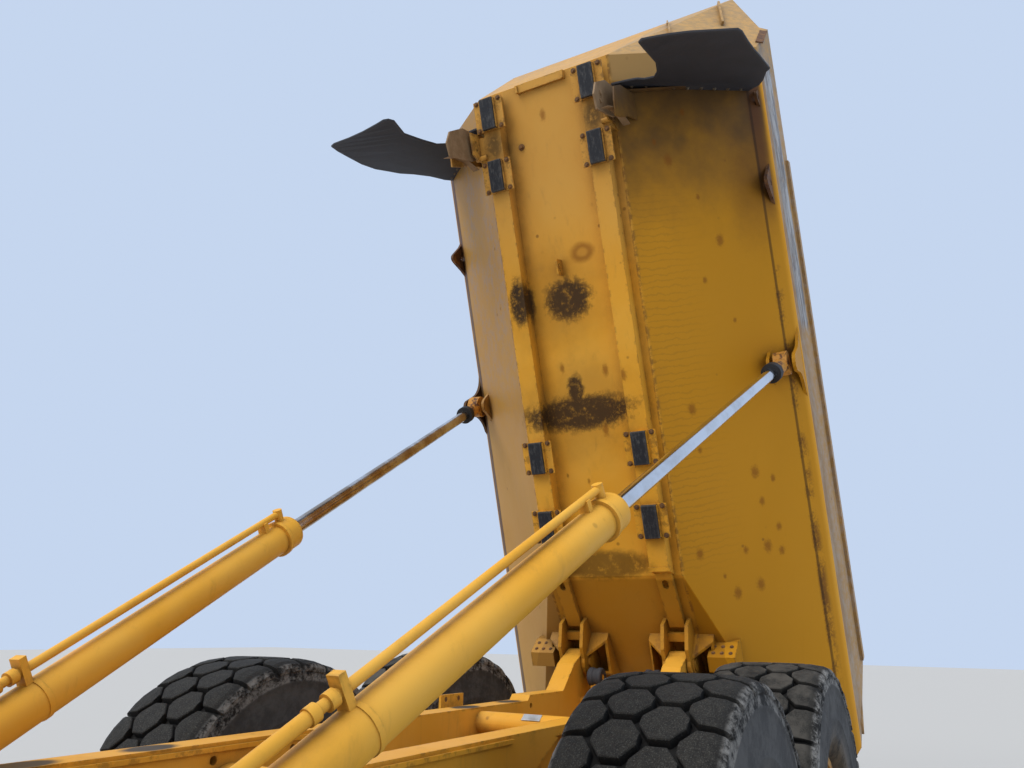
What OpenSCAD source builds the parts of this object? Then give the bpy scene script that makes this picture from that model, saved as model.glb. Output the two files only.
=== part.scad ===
// Articulated dump truck, six wheels, stored with its dump body raised. Millimetres, Z up, X forward.
// The origin is on the ground, in the middle of the footprint.

/* [Layout] */
// Front axle to middle axle
wheelbase = 4175; // [4100:5:4300]
// Middle axle to rear axle
bogie_spacing = 1670; // [1640:5:1720]
// Centre line to the middle of each tyre
half_track = 1130; // [1110:5:1160]
// Front axle back to the steering pins
hitch_back = 1210; // [1190:5:1230]
// Front axle forward to the face of the front guard
front_overhang = 2764; // [2740:2:2800]

/* [Wheels] */
// Radius over the lugs
tyre_r = 800; // [780:2:810]
// Width of the tyre's sidewalls
tyre_w = 600; // [560:5:620]
// Radius of the rim under the beads
rim_r = 318; // [300:2:330]
// Height of the tread lugs
lug_h = 34; // [20:1:45]
// Lugs round each row
lugs_round = 20; // [16:1:24]

/* [Dump body] */
// Angle at which the body stands raised
tilt = 71.44; // [60:0.01:72]
// Body hinge behind the front axle
pivot_back = 6491; // [6470:1:6510]
// Height of the body hinge
pivot_z = 1552; // [1545:1:1570]
// Hinge down to the underside of the floor
floor_drop = 56; // [50:1:62]
// Half the width of the flat floor
floor_half = 500; // [480:5:520]
// Half the width where the sloped panels end
chine_half = 1254; // [1240:2:1270]
// Height of the chine over the floor
chine_h = 750; // [740:2:770]
// Half the width at the foot of the side walls
wall_foot_half = 1335; // [1320:1:1350]
// Height of the foot of the side walls over the floor
wall_foot_h = 850; // [840:2:870]
// Half the width over the top of the side walls
wall_top_half = 1375; // [1365:1:1400]
// Height of the side walls over the floor
wall_top_h = 1290; // [1260:5:1310]
// Thickness of the walls with their ribs
wall_t = 45; // [30:1:60]
// Hinge forward to the foot of the headboard
head_u = 4135; // [4120:5:4160]
// Forward lean of the headboard
head_lean = 25.6; // [25:0.2:26.2]
// Height of the headboard over the floor
head_h = 1860; // [1800:5:1880]
// Half the width of the headboard's top edge
head_half = 1060; // [1040:5:1080]
// Hinge forward to the foot of the tail ramp
ramp_u = 620; // [600:5:640]
// Slope of the tail ramp
ramp_slope = 19; // [17:0.5:20]
// Hinge back to the tail lip
lip_back = 1110; // [1080:5:1130]
// Hinge back to the top corner of the tail
tail_top_back = 390; // [360:5:420]

/* [Frame] */
// Centre line to the middle of the frame rails and of the body's rails
rail_y = 382; // [376:1:388]
// Width of the frame rails
rail_w = 130; // [120:1:136]
// Height of the top of the rear frame
rail_top = 1340; // [1335:1:1342]
// Depth of the rear frame's rails
rail_h = 320; // [280:5:340]
// Height of the roll axis of the hitch
hitch_z = 1050; // [1040:5:1060]

/* [Hoist] */
// Hinge forward to the rod's eye, along the floor
eye_u = 1911; // [1900:1:1925]
// Chine in to the rod's eye
eye_in = 21; // [18:1:26]
// Chine down to the rod's eye
eye_drop = 164; // [158:1:172]
// Lower ball behind the front axle
ball_back = 1996; // [1980:1:2010]
// Centre line to the lower ball
ball_y = 615; // [605:1:625]
// Height of the lower ball
ball_z = 1070; // [1060:1:1080]
// Radius of the cylinder tubes
hoist_r = 75; // [70:1:80]
// Radius of the chromed rods
rod_r = 38; // [35:1:42]
// Lower ball to the gland
hoist_tube_len = 2375; // [2370:5:2460]

/* [Cab] */
// Half the width of the cab
cab_half = 740; // [700:5:745]
// Front axle back to the rear of the cab
cab_back = 550; // [520:5:560]
// Front axle forward to the front of the cab
cab_front = 1050; // [1020:5:1080]
// Height of the cab's floor
cab_floor = 1700; // [1690:5:1720]
// Height of the cab's roof
cab_top = 3400; // [3350:5:3430]
// Thickness of the cab's walls and doors
cab_t = 60; // [50:1:70]

/* [Hidden] */
$fn = 48;

paint = "#e3a31c";
dark = "#2b2c2e";
rubber = "#202122";
steel = "#8d8f90";
chrome = "#d5d8dc";
glass = "#9fb7c0";

far = 9000;
move_gap = 6;
pin_gap = 0.3;
left = 1;
right = -1;

axle_z = tyre_r;
mid_x = -wheelbase;
rear_x = mid_x - bogie_spacing;
pivot_x = -pivot_back;
hitch_x = -hitch_back;

ramp_rise = tan(ramp_slope);
lean_rise = tan(head_lean);
lip_w = (ramp_u + lip_back) * ramp_rise;
eye_v = chine_half - eye_in;
eye_w = chine_h - eye_drop;

// Rear reach of the raised body, and the middle of the footprint
rear_reach = pivot_x - tail_top_back * cos(tilt) - (wall_top_h - floor_drop) * sin(tilt);
mid_footprint = (front_overhang + rear_reach) / 2;

// Puts what is drawn from the front axle's foot into the part's own frame
module placed() {
    translate([-mid_footprint, 0, 0]) children();
}

// Puts what is drawn in the body's frame, with u along the floor and w off it, at the raised angle
module on_body() {
    placed() translate([pivot_x, 0, pivot_z]) rotate([0, -tilt, 0])
        translate([0, 0, -floor_drop]) children();
}

// Extrudes an outline of [y, z] points along X
module along_x(x0, x1) {
    translate([x0, 0, 0]) rotate([90, 0, 90]) linear_extrude(x1 - x0) children();
}

// Extrudes an outline of [x, z] points along Y
module along_y(y0, y1) {
    translate([0, y1, 0]) rotate([90, 0, 0]) linear_extrude(y1 - y0) children();
}

// A box given by its two corners
module block(low, high) {
    translate(low) cube(high - low);
}

// A rod along Y
module rod_y(r, y0, y1, at = [0, 0]) {
    translate([at[0], y0, at[1]]) rotate([-90, 0, 0]) cylinder(r = r, h = y1 - y0);
}

// A rod along X
module rod_x(r, x0, x1, at = [0, 0]) {
    translate([x0, at[0], at[1]]) rotate([0, 90, 0]) cylinder(r = r, h = x1 - x0);
}

module both_sides() {
    children();
    mirror([0, 1, 0]) children();
}

// Points of an arc, from one angle to another
function arc(c, r, a0, a1, n) = [for (i = [0:n]) let(a = a0 + (a1 - a0) * i / n) c + r * [cos(a), sin(a)]];

// The outline a[i] moved inwards by t, for an outline that runs anticlockwise
function unit(v) = v / norm(v);
function inward(a, b) = let(d = unit(b - a)) [-d[1], d[0]];
function inset(p, t) = let(n = len(p)) [
    for (i = [0:n - 1])
        let(
            m = inward(p[(i + n - 1) % n], p[i]),
            k = inward(p[i], p[(i + 1) % n])
        )
        p[i] + t * (m + k) / (1 + m * k)
];

// An outline closed by the mirror image of its points
function mirrored(p) = concat(p, [for (i = [len(p) - 1:-1:0]) [-p[i][0], p[i][1]]]);

// Tyre: a carcass of revolution and four rows of staggered lugs

// Carcass: radius and half width as a share of the tyre's, from the bead to the shoulder
carcass = [
    [rim_r, 210], [rim_r + 26, 210], [rim_r + 26, 232], [400, 272], [480, 294],
    [580, tyre_w / 2], [680, 296], [tyre_r - 66, 286], [tyre_r - lug_h, 250]
];

// Rows of lugs: inner edge, outer edge, phase in pitches
lug_rows = [[-285, -150, 0.5], [-140, -8, 0], [8, 140, 0.5], [150, 285, 0]];

lug_core_r = tyre_r - 120;

function lug_ring(phase) = [
    for (i = [0:lugs_round - 1])
        let(pitch = 360 / lugs_round, a = (i + phase) * pitch, root = tyre_r - lug_h - 14)
        for (k = [[root, -0.40], [tyre_r, -0.34], [tyre_r, 0], [tyre_r, 0.34], [root, 0.40]])
            k[0] * [cos(a + k[1] * pitch), sin(a + k[1] * pitch)]
];

// Moves a wheel drawn about Z, outer face up, to its axle end
module at_wheel(x, side) {
    placed() translate([x, side * half_track, axle_z]) rotate([-90 * side, 0, 0]) children();
}

module tyre(x, side) {
    color(rubber) at_wheel(x, side) {
        rotate_extrude($fn = 64)
            polygon(concat(carcass, [for (i = [len(carcass) - 1:-1:0]) [carcass[i][0], -carcass[i][1]]]));
        for (row = lug_rows)
            translate([0, 0, row[0]]) linear_extrude(row[1] - row[0]) difference() {
                polygon(lug_ring(row[2]));
                circle(r = lug_core_r, $fn = 64);
            }
    }
}

// Rim: a barrel with bead flanges, a disc and the wheel-end gear's hub
spindle_r = 105;
hub_r = 190;
module rim(x, side) {
    color(paint) at_wheel(x, side) rotate_extrude($fn = 64) polygon([
        [spindle_r + 2, -60], [hub_r, -60], [hub_r, 40], [rim_r - 18, 40], [rim_r - 18, -225],
        [rim_r + 22, -225], [rim_r + 22, -212], [rim_r, -212], [rim_r, 212], [rim_r + 22, 212],
        [rim_r + 22, 225], [rim_r - 18, 225], [rim_r - 18, 62], [hub_r, 62], [hub_r, 140],
        [hub_r - 28, 178], [60, 178], [54, 196], [0, 196], [0, 150], [spindle_r + 2, 150]
    ]);
}

// Axle: a housing with its gear bowl, brakes and spindles
module axle(x) {
    at = [x, axle_z];
    rod_y(125, -half_track + 190, half_track - 190, at);
    both_sides() {
        rod_y(235, half_track - 250, half_track - 75, at);
        rod_y(spindle_r, half_track - 90, half_track + 130, at);
    }
    translate([x, 0, axle_z]) intersection() {
        sphere(r = 270, $fn = 64);
        rod_y(260, -190, 190);
    }
    rod_x(80, x - nose_reach, x + nose_reach, [0, axle_z]);
}
nose_reach = 290;

module front_axle() {
    color(paint) placed() {
        axle(0);
        both_sides() block([-seat_x, seat_in, axle_z], [seat_x, seat_out, axle_z + seat_h]);
    }
}
// Spring seats: on the front axle under the outriggers of the tractor's frame
seat_x = 110;
seat_in = 420;
seat_out = 560;
seat_h = 200;

// Rear frame
rail_in = rail_y - rail_w / 2;
rail_out = rail_y + rail_w / 2;
rail_bot = rail_top - rail_h;
bogie_x = (mid_x + rear_x) / 2;
bogie_z = axle_z + 70;
frame_front = -1900;
frame_nose = -2300;
hinge_boss_r = 85;
hinge_pin_r = 40;
tow_bore_r = 40;
bogie_pin_r = 80;
shaft_r = 55;

rail_step = 32;
arm_front = 380;
arm_top = 200;

module frame_rail() {
    along_y(rail_in, rail_out) polygon(concat([
        [frame_nose, rail_bot - 60], [frame_front - 120, rail_bot - 120], [frame_front, rail_bot],
        [frame_front, rail_top - 90], [frame_nose, rail_top], [pivot_x + 880, rail_top],
        [pivot_x + 850, rail_top + rail_step], [pivot_x + arm_front, rail_top + rail_step],
        [pivot_x + arm_top, pivot_z - 12]], arc([pivot_x, pivot_z], hinge_boss_r, 45, 180, 9), [
        [pivot_x - 110, rail_bot + 120], [pivot_x - 60, rail_bot], [frame_nose - 200, rail_bot]
    ]));
}

// Recess in the outer web over the middle axle, [x, z]
arch = concat(
    [[mid_x + 30, rail_bot + 60], [mid_x - 90, rail_bot + 170]],
    arc([mid_x - 260, rail_top - 120], 80, 120, 90, 2),
    [[mid_x - 560, rail_top - 40], [mid_x - 700, rail_top - 110], [mid_x - 760, rail_bot + 60]]
);
arch_depth = 70;
bogie_cross_top = rail_top - 170;
cross_tube_r = 58;
cross_tube = [pivot_x + 1430, rail_top - 78];
tab_plate = [pivot_x + 1330, pivot_x + 1560];
web_hole_r = 16;
web_holes = [[pivot_x + 840, rail_top - 30], [frame_nose - 900, rail_top - 60], [frame_nose - 1300, rail_top - 60]];

module rear_frame() {
    color(paint) placed() difference() {
        union() {
            both_sides() {
                frame_rail();
                // Narrow flanges along the rails' top and foot
                block([frame_nose - 1750, rail_in - 12, rail_top - 30],
                    [frame_nose - 60, rail_out + 12, rail_top - 14]);
                block([pivot_x + 150, rail_in - 12, rail_bot], [frame_nose - 250, rail_out + 12, rail_bot + 18]);
                // Hanger of the bogie pivot, and its stub pin
                along_y(rail_in, rail_out) polygon([
                    [bogie_x - 330, rail_bot + 5], [bogie_x - 130, bogie_z - 130],
                    [bogie_x + 130, bogie_z - 130], [bogie_x + 330, rail_bot + 5]
                ]);
                rod_y(bogie_pin_r, rail_in, beam_y + 75, [bogie_x, bogie_z]);
                // Lower ball of the hoist, on its bracket
                rod_y(ball_neck_r, rail_out - 5, ball_y + 80, [-ball_back, ball_z]);
                rod_y(ball_neck_r + 25, rail_out - 5, rail_out + 25, [-ball_back, ball_z]);
                translate([-ball_back, ball_y, ball_z]) sphere(r = ball_r);
                // Round buffer beside the hinge arm, on its foot
                rod_y(52, buffer_y[0], buffer_y[1], [pivot_x + 70, pivot_z - 100]);
                block([pivot_x + 40, buffer_y[0] + 15, rail_top - 30], [pivot_x + 100, buffer_y[1] - 15, pivot_z - 120]);
                // Stops beside the rails at the front
                block([frame_nose - 420, rail_out - 5, rail_top - 90],
                    [frame_nose - 260, guide_v - guide_gap, rail_top - 20]);
            }
            // Plate with two holes on the right rail
            block([tab_plate[0], -rail_out - 70, rail_top - 60], [tab_plate[1], -rail_out - 56, rail_top + 60]);
            block([tab_plate[0] + 60, -rail_out - 60, rail_top - 60],
                [tab_plate[1] - 60, -rail_out + 5, rail_top - 40]);
            // Cross members
            block([frame_nose, -rail_out, hitch_z - 190], [frame_front, rail_out, hitch_z + 190]);
            rod_x(190, frame_front - 10, nose_end, [0, hitch_z]);
            rod_x(212, nose_end - 60, nose_end, [0, hitch_z]);
            rod_y(95, -rail_in, rail_in, [mid_x + 900, rail_bot + 150]);
            rod_y(cross_tube_r, -rail_in, rail_in, cross_tube);
            block([bogie_x - 150, -rail_in, rail_bot + 20], [bogie_x + 150, rail_in, bogie_cross_top]);
            block([pivot_x - 40, -rail_in, rail_bot + 20], [pivot_x + 110, rail_in, rail_top - 20]);
            // Bearing of the drive shaft
            block([frame_nose + 120, -110, axle_z - 90], [frame_nose + 240, 110, hitch_z - 180]);
            // Towing lug, and the bracket of the tail lamps
            block([pivot_x - 230, -90, rail_bot + 60], [pivot_x - 30, 90, rail_bot + 140]);
            block([pivot_x - 120, -tail_lamp_y - 90, rail_bot + 170], [pivot_x - 95, tail_lamp_y + 90, rail_bot + 290]);
            both_sides() block([pivot_x - 160, tail_lamp_y - 80, rail_bot + 185], [pivot_x - 118, tail_lamp_y + 80, rail_bot + 275]);
        }
        both_sides() {
            rod_y(hinge_pin_r + pin_gap, rail_in - 1, rail_out + 1, [pivot_x, pivot_z]);
            along_y(rail_out - arch_depth, rail_out + 1) polygon(arch);
            for (at = web_holes) rod_y(web_hole_r, rail_in - 1, rail_in + 60, at);
        }
        for (x = [tab_plate[0] + 50, tab_plate[1] - 50])
            rod_y(14, -rail_out - 80, -rail_out - 50, [x, rail_top + 35]);
        rod_x(yoke_shaft_r + pin_gap, frame_nose - 1, nose_end + 1, [0, hitch_z]);
        rod_x(shaft_r + 1, frame_nose - 1, frame_front + 1, [0, axle_z]);
        translate([pivot_x - 160, 0, rail_bot]) cylinder(r = tow_bore_r, h = 200);
    }
}
nose_end = -1560;
tail_lamp_y = 640;
buffer_y = [160, 255];
ball_neck_r = 45;
ball_r = 74;

// Walking beams: they rock on the bogie pivot and rest on the axles
beam_y = 640;
saddle_z = axle_z + 150;
saddle_x = 110;
module bogie_beams() {
    color(paint) placed() both_sides() difference() {
        along_y(beam_y - 60, beam_y + 60) polygon([
            [rear_x - saddle_x, saddle_z], [rear_x + saddle_x, saddle_z], [bogie_x - 250, saddle_z - 150],
            [bogie_x + 250, saddle_z - 150], [mid_x - saddle_x, saddle_z], [mid_x + saddle_x, saddle_z],
            [mid_x + saddle_x, saddle_z + 60], [bogie_x + 300, bogie_z + 130],
            [bogie_x - 300, bogie_z + 130], [rear_x - saddle_x, saddle_z + 60]
        ]);
        rod_y(bogie_pin_r + 1, beam_y - 70, beam_y + 70, [bogie_x, bogie_z]);
    }
}

module rear_axles() {
    color(paint) placed() for (x = [mid_x, rear_x]) {
        axle(x);
        both_sides() block([x - 90, beam_y - 60, axle_z], [x + 90, beam_y + 60, saddle_z]);
    }
}

module rear_shafts() {
    color(dark) placed() {
        rod_x(shaft_r, mid_x + nose_reach, frame_front + 120, [0, axle_z]);
        rod_x(shaft_r, rear_x + nose_reach, mid_x - nose_reach, [0, axle_z]);
    }
}

// Hitch: a yoke that rolls in the rear frame's nose and steers on two pins
yoke_shaft_r = 120;
lug_top = hitch_z + 240;
lug_bot = hitch_z - 240;
lug_t = 55;
steer_pin_r = 50;
yoke_pin_x = hitch_x - 210;
yoke_pin_y = 360;
steer_z = hitch_z;

module hitch_yoke() {
    color(paint) placed() difference() {
        union() {
            rod_x(yoke_shaft_r, frame_front - 300, hitch_x - 60, [0, hitch_z]);
            rod_x(180, nose_end + move_gap, hitch_x - 130, [0, hitch_z]);
            translate([hitch_x, 0, lug_bot + lug_t + move_gap])
                cylinder(r = 125, h = lug_top - lug_bot - 2 * lug_t - 2 * move_gap);
            // Lugs over and under the steering rods' eyes
            for (z = [steer_z + 45 + move_gap, steer_z - 75 - move_gap])
                translate([0, 0, z]) linear_extrude(30) polygon([
                    [hitch_x - 130, -120], [yoke_pin_x + 70, -yoke_pin_y - 50], [yoke_pin_x - 60, -yoke_pin_y - 50],
                    [nose_end + move_gap, -150], [nose_end + move_gap, 150],
                    [yoke_pin_x - 60, yoke_pin_y + 50], [yoke_pin_x + 70, yoke_pin_y + 50], [hitch_x - 130, 120]
                ]);
        }
        translate([hitch_x, 0, lug_bot]) cylinder(r = steer_pin_r + pin_gap, h = lug_top - lug_bot);
    }
}

// Tractor frame
front_rail_in = 270;
front_rail_out = 370;
module front_frame() {
    color(paint) placed() {
        both_sides() along_y(front_rail_in, front_rail_out) polygon([
            [-820, axle_z + 150], [400, axle_z + 150], [2450, axle_z + 60], [2450, axle_z + 320], [900, axle_z + 400],
            [-820, axle_z + 400]
        ]);
        for (z = [lug_bot, lug_top - lug_t])
            translate([0, 0, z]) linear_extrude(lug_t) polygon(concat(
                arc([hitch_x, 0], 125, 250, 110, 10),
                [[-820, front_rail_out], [-700, front_rail_out], [-700, -front_rail_out], [-820, -front_rail_out]]
            ));
        translate([hitch_x, 0, lug_bot - 30]) cylinder(r = steer_pin_r, h = lug_top - lug_bot + 60);
        block([-820, -front_rail_out, lug_bot], [-700, front_rail_out, lug_top]);
        block([2250, -front_rail_in, axle_z + 100], [2450, front_rail_in, axle_z + 300]);
        // Oil tank behind the cab
        along_x(oil_tank[0], oil_tank[1]) polygon([
            [-560, axle_z + 400], [560, axle_z + 400], [560, 1840], [510, 1890], [-510, 1890], [-560, 1840]
        ]);
        translate([(oil_tank[0] + oil_tank[1]) / 2, 380, 1880]) cylinder(r = 55, h = 40);
        // Beams under the cab, which carry the fenders too
        for (x = beams_x) block([x - 60, -beam_half, axle_z + 380], [x + 60, beam_half, cab_floor]);
        // Outriggers over the spring seats
        both_sides() block([-seat_x - 20, front_rail_out - 5, axle_z + seat_h],
            [seat_x + 20, seat_out + 20, axle_z + seat_h + 90]);
        // Lugs of the steering cylinders
        both_sides() {
            for (z = [steer_z + 40 + move_gap, steer_z - 70 - move_gap]) {
                block([steer_base[0] - 60, front_rail_out - 20, z], [steer_base[0] + 60, steer_base[1], z + 30]);
                translate([steer_base[0], steer_base[1], z]) cylinder(r = 60, h = 30);
            }
            translate([steer_base[0], steer_base[1], steer_z - 76]) cylinder(r = steer_bore_r - pin_gap, h = 152);
        }
    }
}
beams_x = [-440, 580];
oil_tank = [-800, -600];
beam_half = 620;
steer_bore_r = 28;

module engine_block() {
    color(steel) placed() block([1080, -front_rail_in, axle_z + 110], [2240, front_rail_in, axle_z + 1000]);
}

// Steering cylinders: tube on the tractor, rod's eye between the yoke's lugs
steer_base = [-360, 600];
steer_eye = [yoke_pin_x, yoke_pin_y];
steer_dir = atan2(steer_eye[1] - steer_base[1], steer_eye[0] - steer_base[0]);
steer_len = norm(steer_eye - steer_base);
steer_tube_len = steer_len - 380;

module steer_place(side) {
    placed() mirror([0, side == right ? 1 : 0, 0])
        translate([steer_base[0], steer_base[1], steer_z]) rotate([0, 0, steer_dir]) children();
}

module steer_tube(side) {
    color(paint) steer_place(side) difference() {
        union() {
            rod_x(34, 40, 90);
            rod_x(48, 74, steer_tube_len);
            translate([0, 0, -40]) cylinder(r = 58, h = 80);
        }
        rod_x(25 + pin_gap, 90, steer_tube_len + 1);
        translate([0, 0, -41]) cylinder(r = steer_bore_r, h = 82);
    }
}

module steer_rod(side) {
    color(chrome) steer_place(side) {
        rod_x(25, steer_tube_len - 60, steer_len - 30);
        translate([steer_len, 0, -40]) cylinder(r = 45, h = 80);
    }
}

// Dump body

// Outline of the section across the body, [v, w], with the headboard over the side walls
head_step = 60;
section_outer = mirrored([
    [floor_half, 0], [chine_half, chine_h], [wall_foot_half, wall_foot_h], [wall_top_half, wall_top_h],
    [wall_top_half - head_step, wall_top_h], [head_half, head_h]
]);
section_inset = inset(section_outer, wall_t);
section_inner = mirrored([
    section_inset[0], section_inset[1], section_inset[2], [wall_top_half - wall_t, head_h + 200]
]);

// Outline along the body, [u, w]: the headboard's prism ends it at the front
head_base_u = 3000;
profile_outer = [
    [ramp_u, 0], [head_u + 1500, 0], [head_u + 1500, head_h], [head_base_u, head_h],
    [head_base_u, wall_top_h], [-tail_top_back, wall_top_h], [-lip_back, lip_w]
];
floor_inner = inset(profile_outer, wall_t);
profile_inner = [
    floor_inner[0], [head_u + 1600, wall_t], [head_u + 1600, head_h + 300], [-2000, head_h + 300],
    [-2000, (ramp_u + 2000) * ramp_rise + wall_t / cos(ramp_slope)]
];

// Headboard: it leans forward from the floor's edge, and each corner is bent back from a line
// between the floor's corner and its top corner, to the front edge of the side panel
far_out = 3000;
corner_step = 35;
corner_foot = [head_u, floor_half, 0];
corner_top = [head_u + head_h * tan(head_lean), head_half, head_h];
corner_chine = [head_u + corner_step, chine_half, chine_h];
bend_line = unit(corner_top - corner_foot);
bend_face = unit(cross(corner_chine - corner_foot, corner_top - corner_foot));
bend_side = cross(bend_line, bend_face);

// What lies in front of the headboard's middle and of its two bent corners, t behind their faces
module head_cut(t) {
    rotate([0, head_lean, 0]) block([head_u * cos(head_lean) - t, -far_out, -far_out],
        [2 * far, far_out, 2 * far_out]);
    both_sides() translate(corner_foot - t * bend_face) multmatrix([
        [bend_line[0], bend_face[0], bend_side[0], 0], [bend_line[1], bend_face[1], bend_side[1], 0],
        [bend_line[2], bend_face[2], bend_side[2], 0], [0, 0, 0, 1]
    ]) block([-far_out, 0, -far_out], [far_out, far_out, far_out]);
}

module tub_outside() {
    difference() {
        intersection() {
            along_x(-1500, 6500) polygon(section_outer);
            along_y(-2000, 2000) polygon(profile_outer);
        }
        head_cut(0);
    }
}

// Rails along the top of the side walls, and the bent edge of the tail
top_rail_end = 3420;
top_rail = [58, 74];
module tub_rails() {
    both_sides() {
        block([30 - tail_top_back, wall_top_half - top_rail[0], wall_top_h - top_rail[1]],
            [top_rail_end, wall_top_half + 14, wall_top_h + 6]);
        along_y(wall_foot_half - 30, wall_foot_half + 20) polygon([
            [-(lip_back + tail_top_back) / 2 - 40, wall_foot_h + 90], [-(lip_back + tail_top_back) / 2 + 30, wall_foot_h + 90],
            [30 - tail_top_back, wall_top_h - 20], [-tail_top_back, wall_top_h - 20]
        ]);
    }
}

module dump_tub() {
    color(paint) on_body() difference() {
        union() {
            tub_outside();
            tub_rails();
        }
        difference() {
            intersection() {
                along_x(-2500, 6600) polygon(section_inner);
                along_y(-2100, 2100) polygon(profile_inner);
            }
            head_cut(wall_t);
        }
    }
}

function ramp_at(u) = (ramp_u - u) * ramp_rise;
function panel_at(v) = (v - floor_half) * chine_h / (chine_half - floor_half);

body_rail_h = 102;
rail_end_u = 4100;
pad_plate_t = 12;
pads_u = [3960, 3515, 1496, 1008];
pad_half = 104;
pad_plate_half = 113;
pad_v = 50;
pad_t = pivot_z - floor_drop - body_rail_h - pad_plate_t - rail_top - move_gap;
clevis_t = 25;
clevis_gap = rail_w + 2 * move_gap;
clevis_out = clevis_gap / 2 + clevis_t;
clevis_top = 300;
wing_w = 130;
wing_t = 16;
wing_top = [180, 66];
wing_foot = [-182, -60];
bracket_gap = 150;
bracket_t = 22;

// Hinge clevis: two cheeks, a cross bar, the pin, and a wing of folded plate on either side
module hinge_clevis() {
    for (y = [rail_y - clevis_out, rail_y + clevis_gap / 2])
        along_y(y, y + clevis_t) polygon(concat(
            [[clevis_top, ramp_at(clevis_top) + 10], [-280, ramp_at(-280) + 10]],
            arc([0, floor_drop], 100, 200, 300, 6),
            [[130, -38], [clevis_top - 25, 30]]
        ));
    block([145, rail_y - clevis_gap / 2 - 1, 80], [200, rail_y + clevis_gap / 2 + 1, 122]);
    rod_y(hinge_pin_r, rail_y - clevis_out - 15, rail_y + clevis_out + 15, [0, floor_drop]);
    rod_y(hinge_pin_r + 22, rail_y + clevis_out, rail_y + clevis_out + 8, [0, floor_drop]);
    for (side = [left, right]) translate([0, rail_y + side * clevis_out, 0]) mirror([0, side == right ? 1 : 0, 0])
        hinge_wing();
}

// A wing: a plate sloped down to the cheek's edge, a plate sloped up to it, and an outer edge plate
module hinge_wing() {
    intersection() {
        along_x(-400, 400) polygon([[-1, 10], [wing_w, 110], [wing_w, 400], [-1, 400]]);
        union() {
            for (k = [wing_top, wing_foot]) along_y(-1, wing_w) polygon([
                [k[0], ramp_at(k[0]) + 8], [k[1], 12], [k[1] - wing_t * sign(k[0]), 12],
                [k[0] - wing_t * sign(k[0]), ramp_at(k[0]) + 12]
            ]);
            along_y(wing_w - wing_t, wing_w) polygon([
                [wing_top[0] - 10, ramp_at(wing_top[0]) + 8], [wing_top[1], 30], [wing_foot[1], 30],
                [wing_foot[0] + 10, ramp_at(wing_foot[0]) + 8]
            ]);
        }
    }
}

// Raised channel along the ramp from the rail's end to the clevis, with a slot near its top
channel_half = 55;
channel_h = 40;
slot_u = ramp_u - 60;
module ramp_channel() {
    difference() {
        along_y(rail_y - channel_half, rail_y + channel_half) polygon([
            [ramp_u + 40, 5], [ramp_u + 40, -channel_h], [ramp_u - 10, -channel_h],
            [clevis_top - 60, ramp_at(clevis_top - 60) - channel_h], [clevis_top - 60, ramp_at(clevis_top - 60) + 5]
        ]);
        for (u = [slot_u - 14, slot_u + 14])
            translate([u, rail_y, ramp_at(u) - channel_h - 10]) rotate([0, ramp_slope, 0]) cylinder(r = 20, h = 35);
        translate([slot_u, rail_y, ramp_at(slot_u) - channel_h + 6]) rotate([0, ramp_slope, 0]) cube([28, 40, 34], center = true);
    }
}

// Bracket of the hoist rod's eye: a plain inner plate, and an outer plate flared along the chine
module eye_bracket() {
    along_y(eye_v - bracket_gap / 2 - bracket_t, eye_v - bracket_gap / 2) polygon(concat(
        [[eye_u + 150, chine_h], [eye_u - 230, chine_h]], arc([eye_u, eye_w], 62, 200, 340, 6)
    ));
    along_y(eye_v + bracket_gap / 2, eye_v + bracket_gap / 2 + bracket_t) polygon(concat(
        [[eye_u + 290, wall_foot_h], [eye_u - 260, wall_foot_h]],
        arc([eye_u - 260, eye_w + 44], 190, 78, 12, 6),
        arc([eye_u, eye_w], 66, 200, 340, 6),
        arc([eye_u + 290, eye_w + 54], 204, 168, 100, 6)
    ));
}

// Beside the front pads: a triangular plate with two holes, on a box on the rail's outer side
guide_u = [3640, 3840];
guide_v = rail_out + 50;
guide_gap = 8;
module guide_bracket() {
    block([guide_u[0] - 15, rail_out - 5, -100], [guide_u[1] - 20, guide_v, panel_at(guide_v) + 5]);
    difference() {
        along_y(guide_v, guide_v + 14) polygon([
            [guide_u[0] + 10, -60], [guide_u[0] + 15, -150], [guide_u[0] + 45, -200], [guide_u[1], -206],
            [guide_u[1] + 10, -80], [guide_u[1] + 10, panel_at(guide_v) + 5], [guide_u[0] - 30, panel_at(guide_v) + 5]
        ]);
        for (u = [guide_u[0] + 85, guide_u[0] + 145]) rod_y(11, guide_v - 1, guide_v + 15, [u, -150]);
    }
    rod_y(18, rail_out - 5, guide_v + 32, [guide_u[0] + 30, -112]);
}

// Lifting eye on the chine
module lifting_eye(u) {
    difference() {
        along_y(chine_half + 34, chine_half + 54) polygon(concat(
            [[u - 75, wall_foot_h + 10], [u + 75, wall_foot_h + 10]], arc([u, chine_h + 24], 42, 340, 200, 8)
        ));
        rod_y(20, chine_half, chine_half + 90, [u, chine_h + 28]);
    }
}

// Bolted block beside the hinge
strip_half = 185;
side_block_v = [570, 755];
side_block = [[-45, 50], [55, 50], [115, 175], [115, 260], [-45, 300]];

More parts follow.
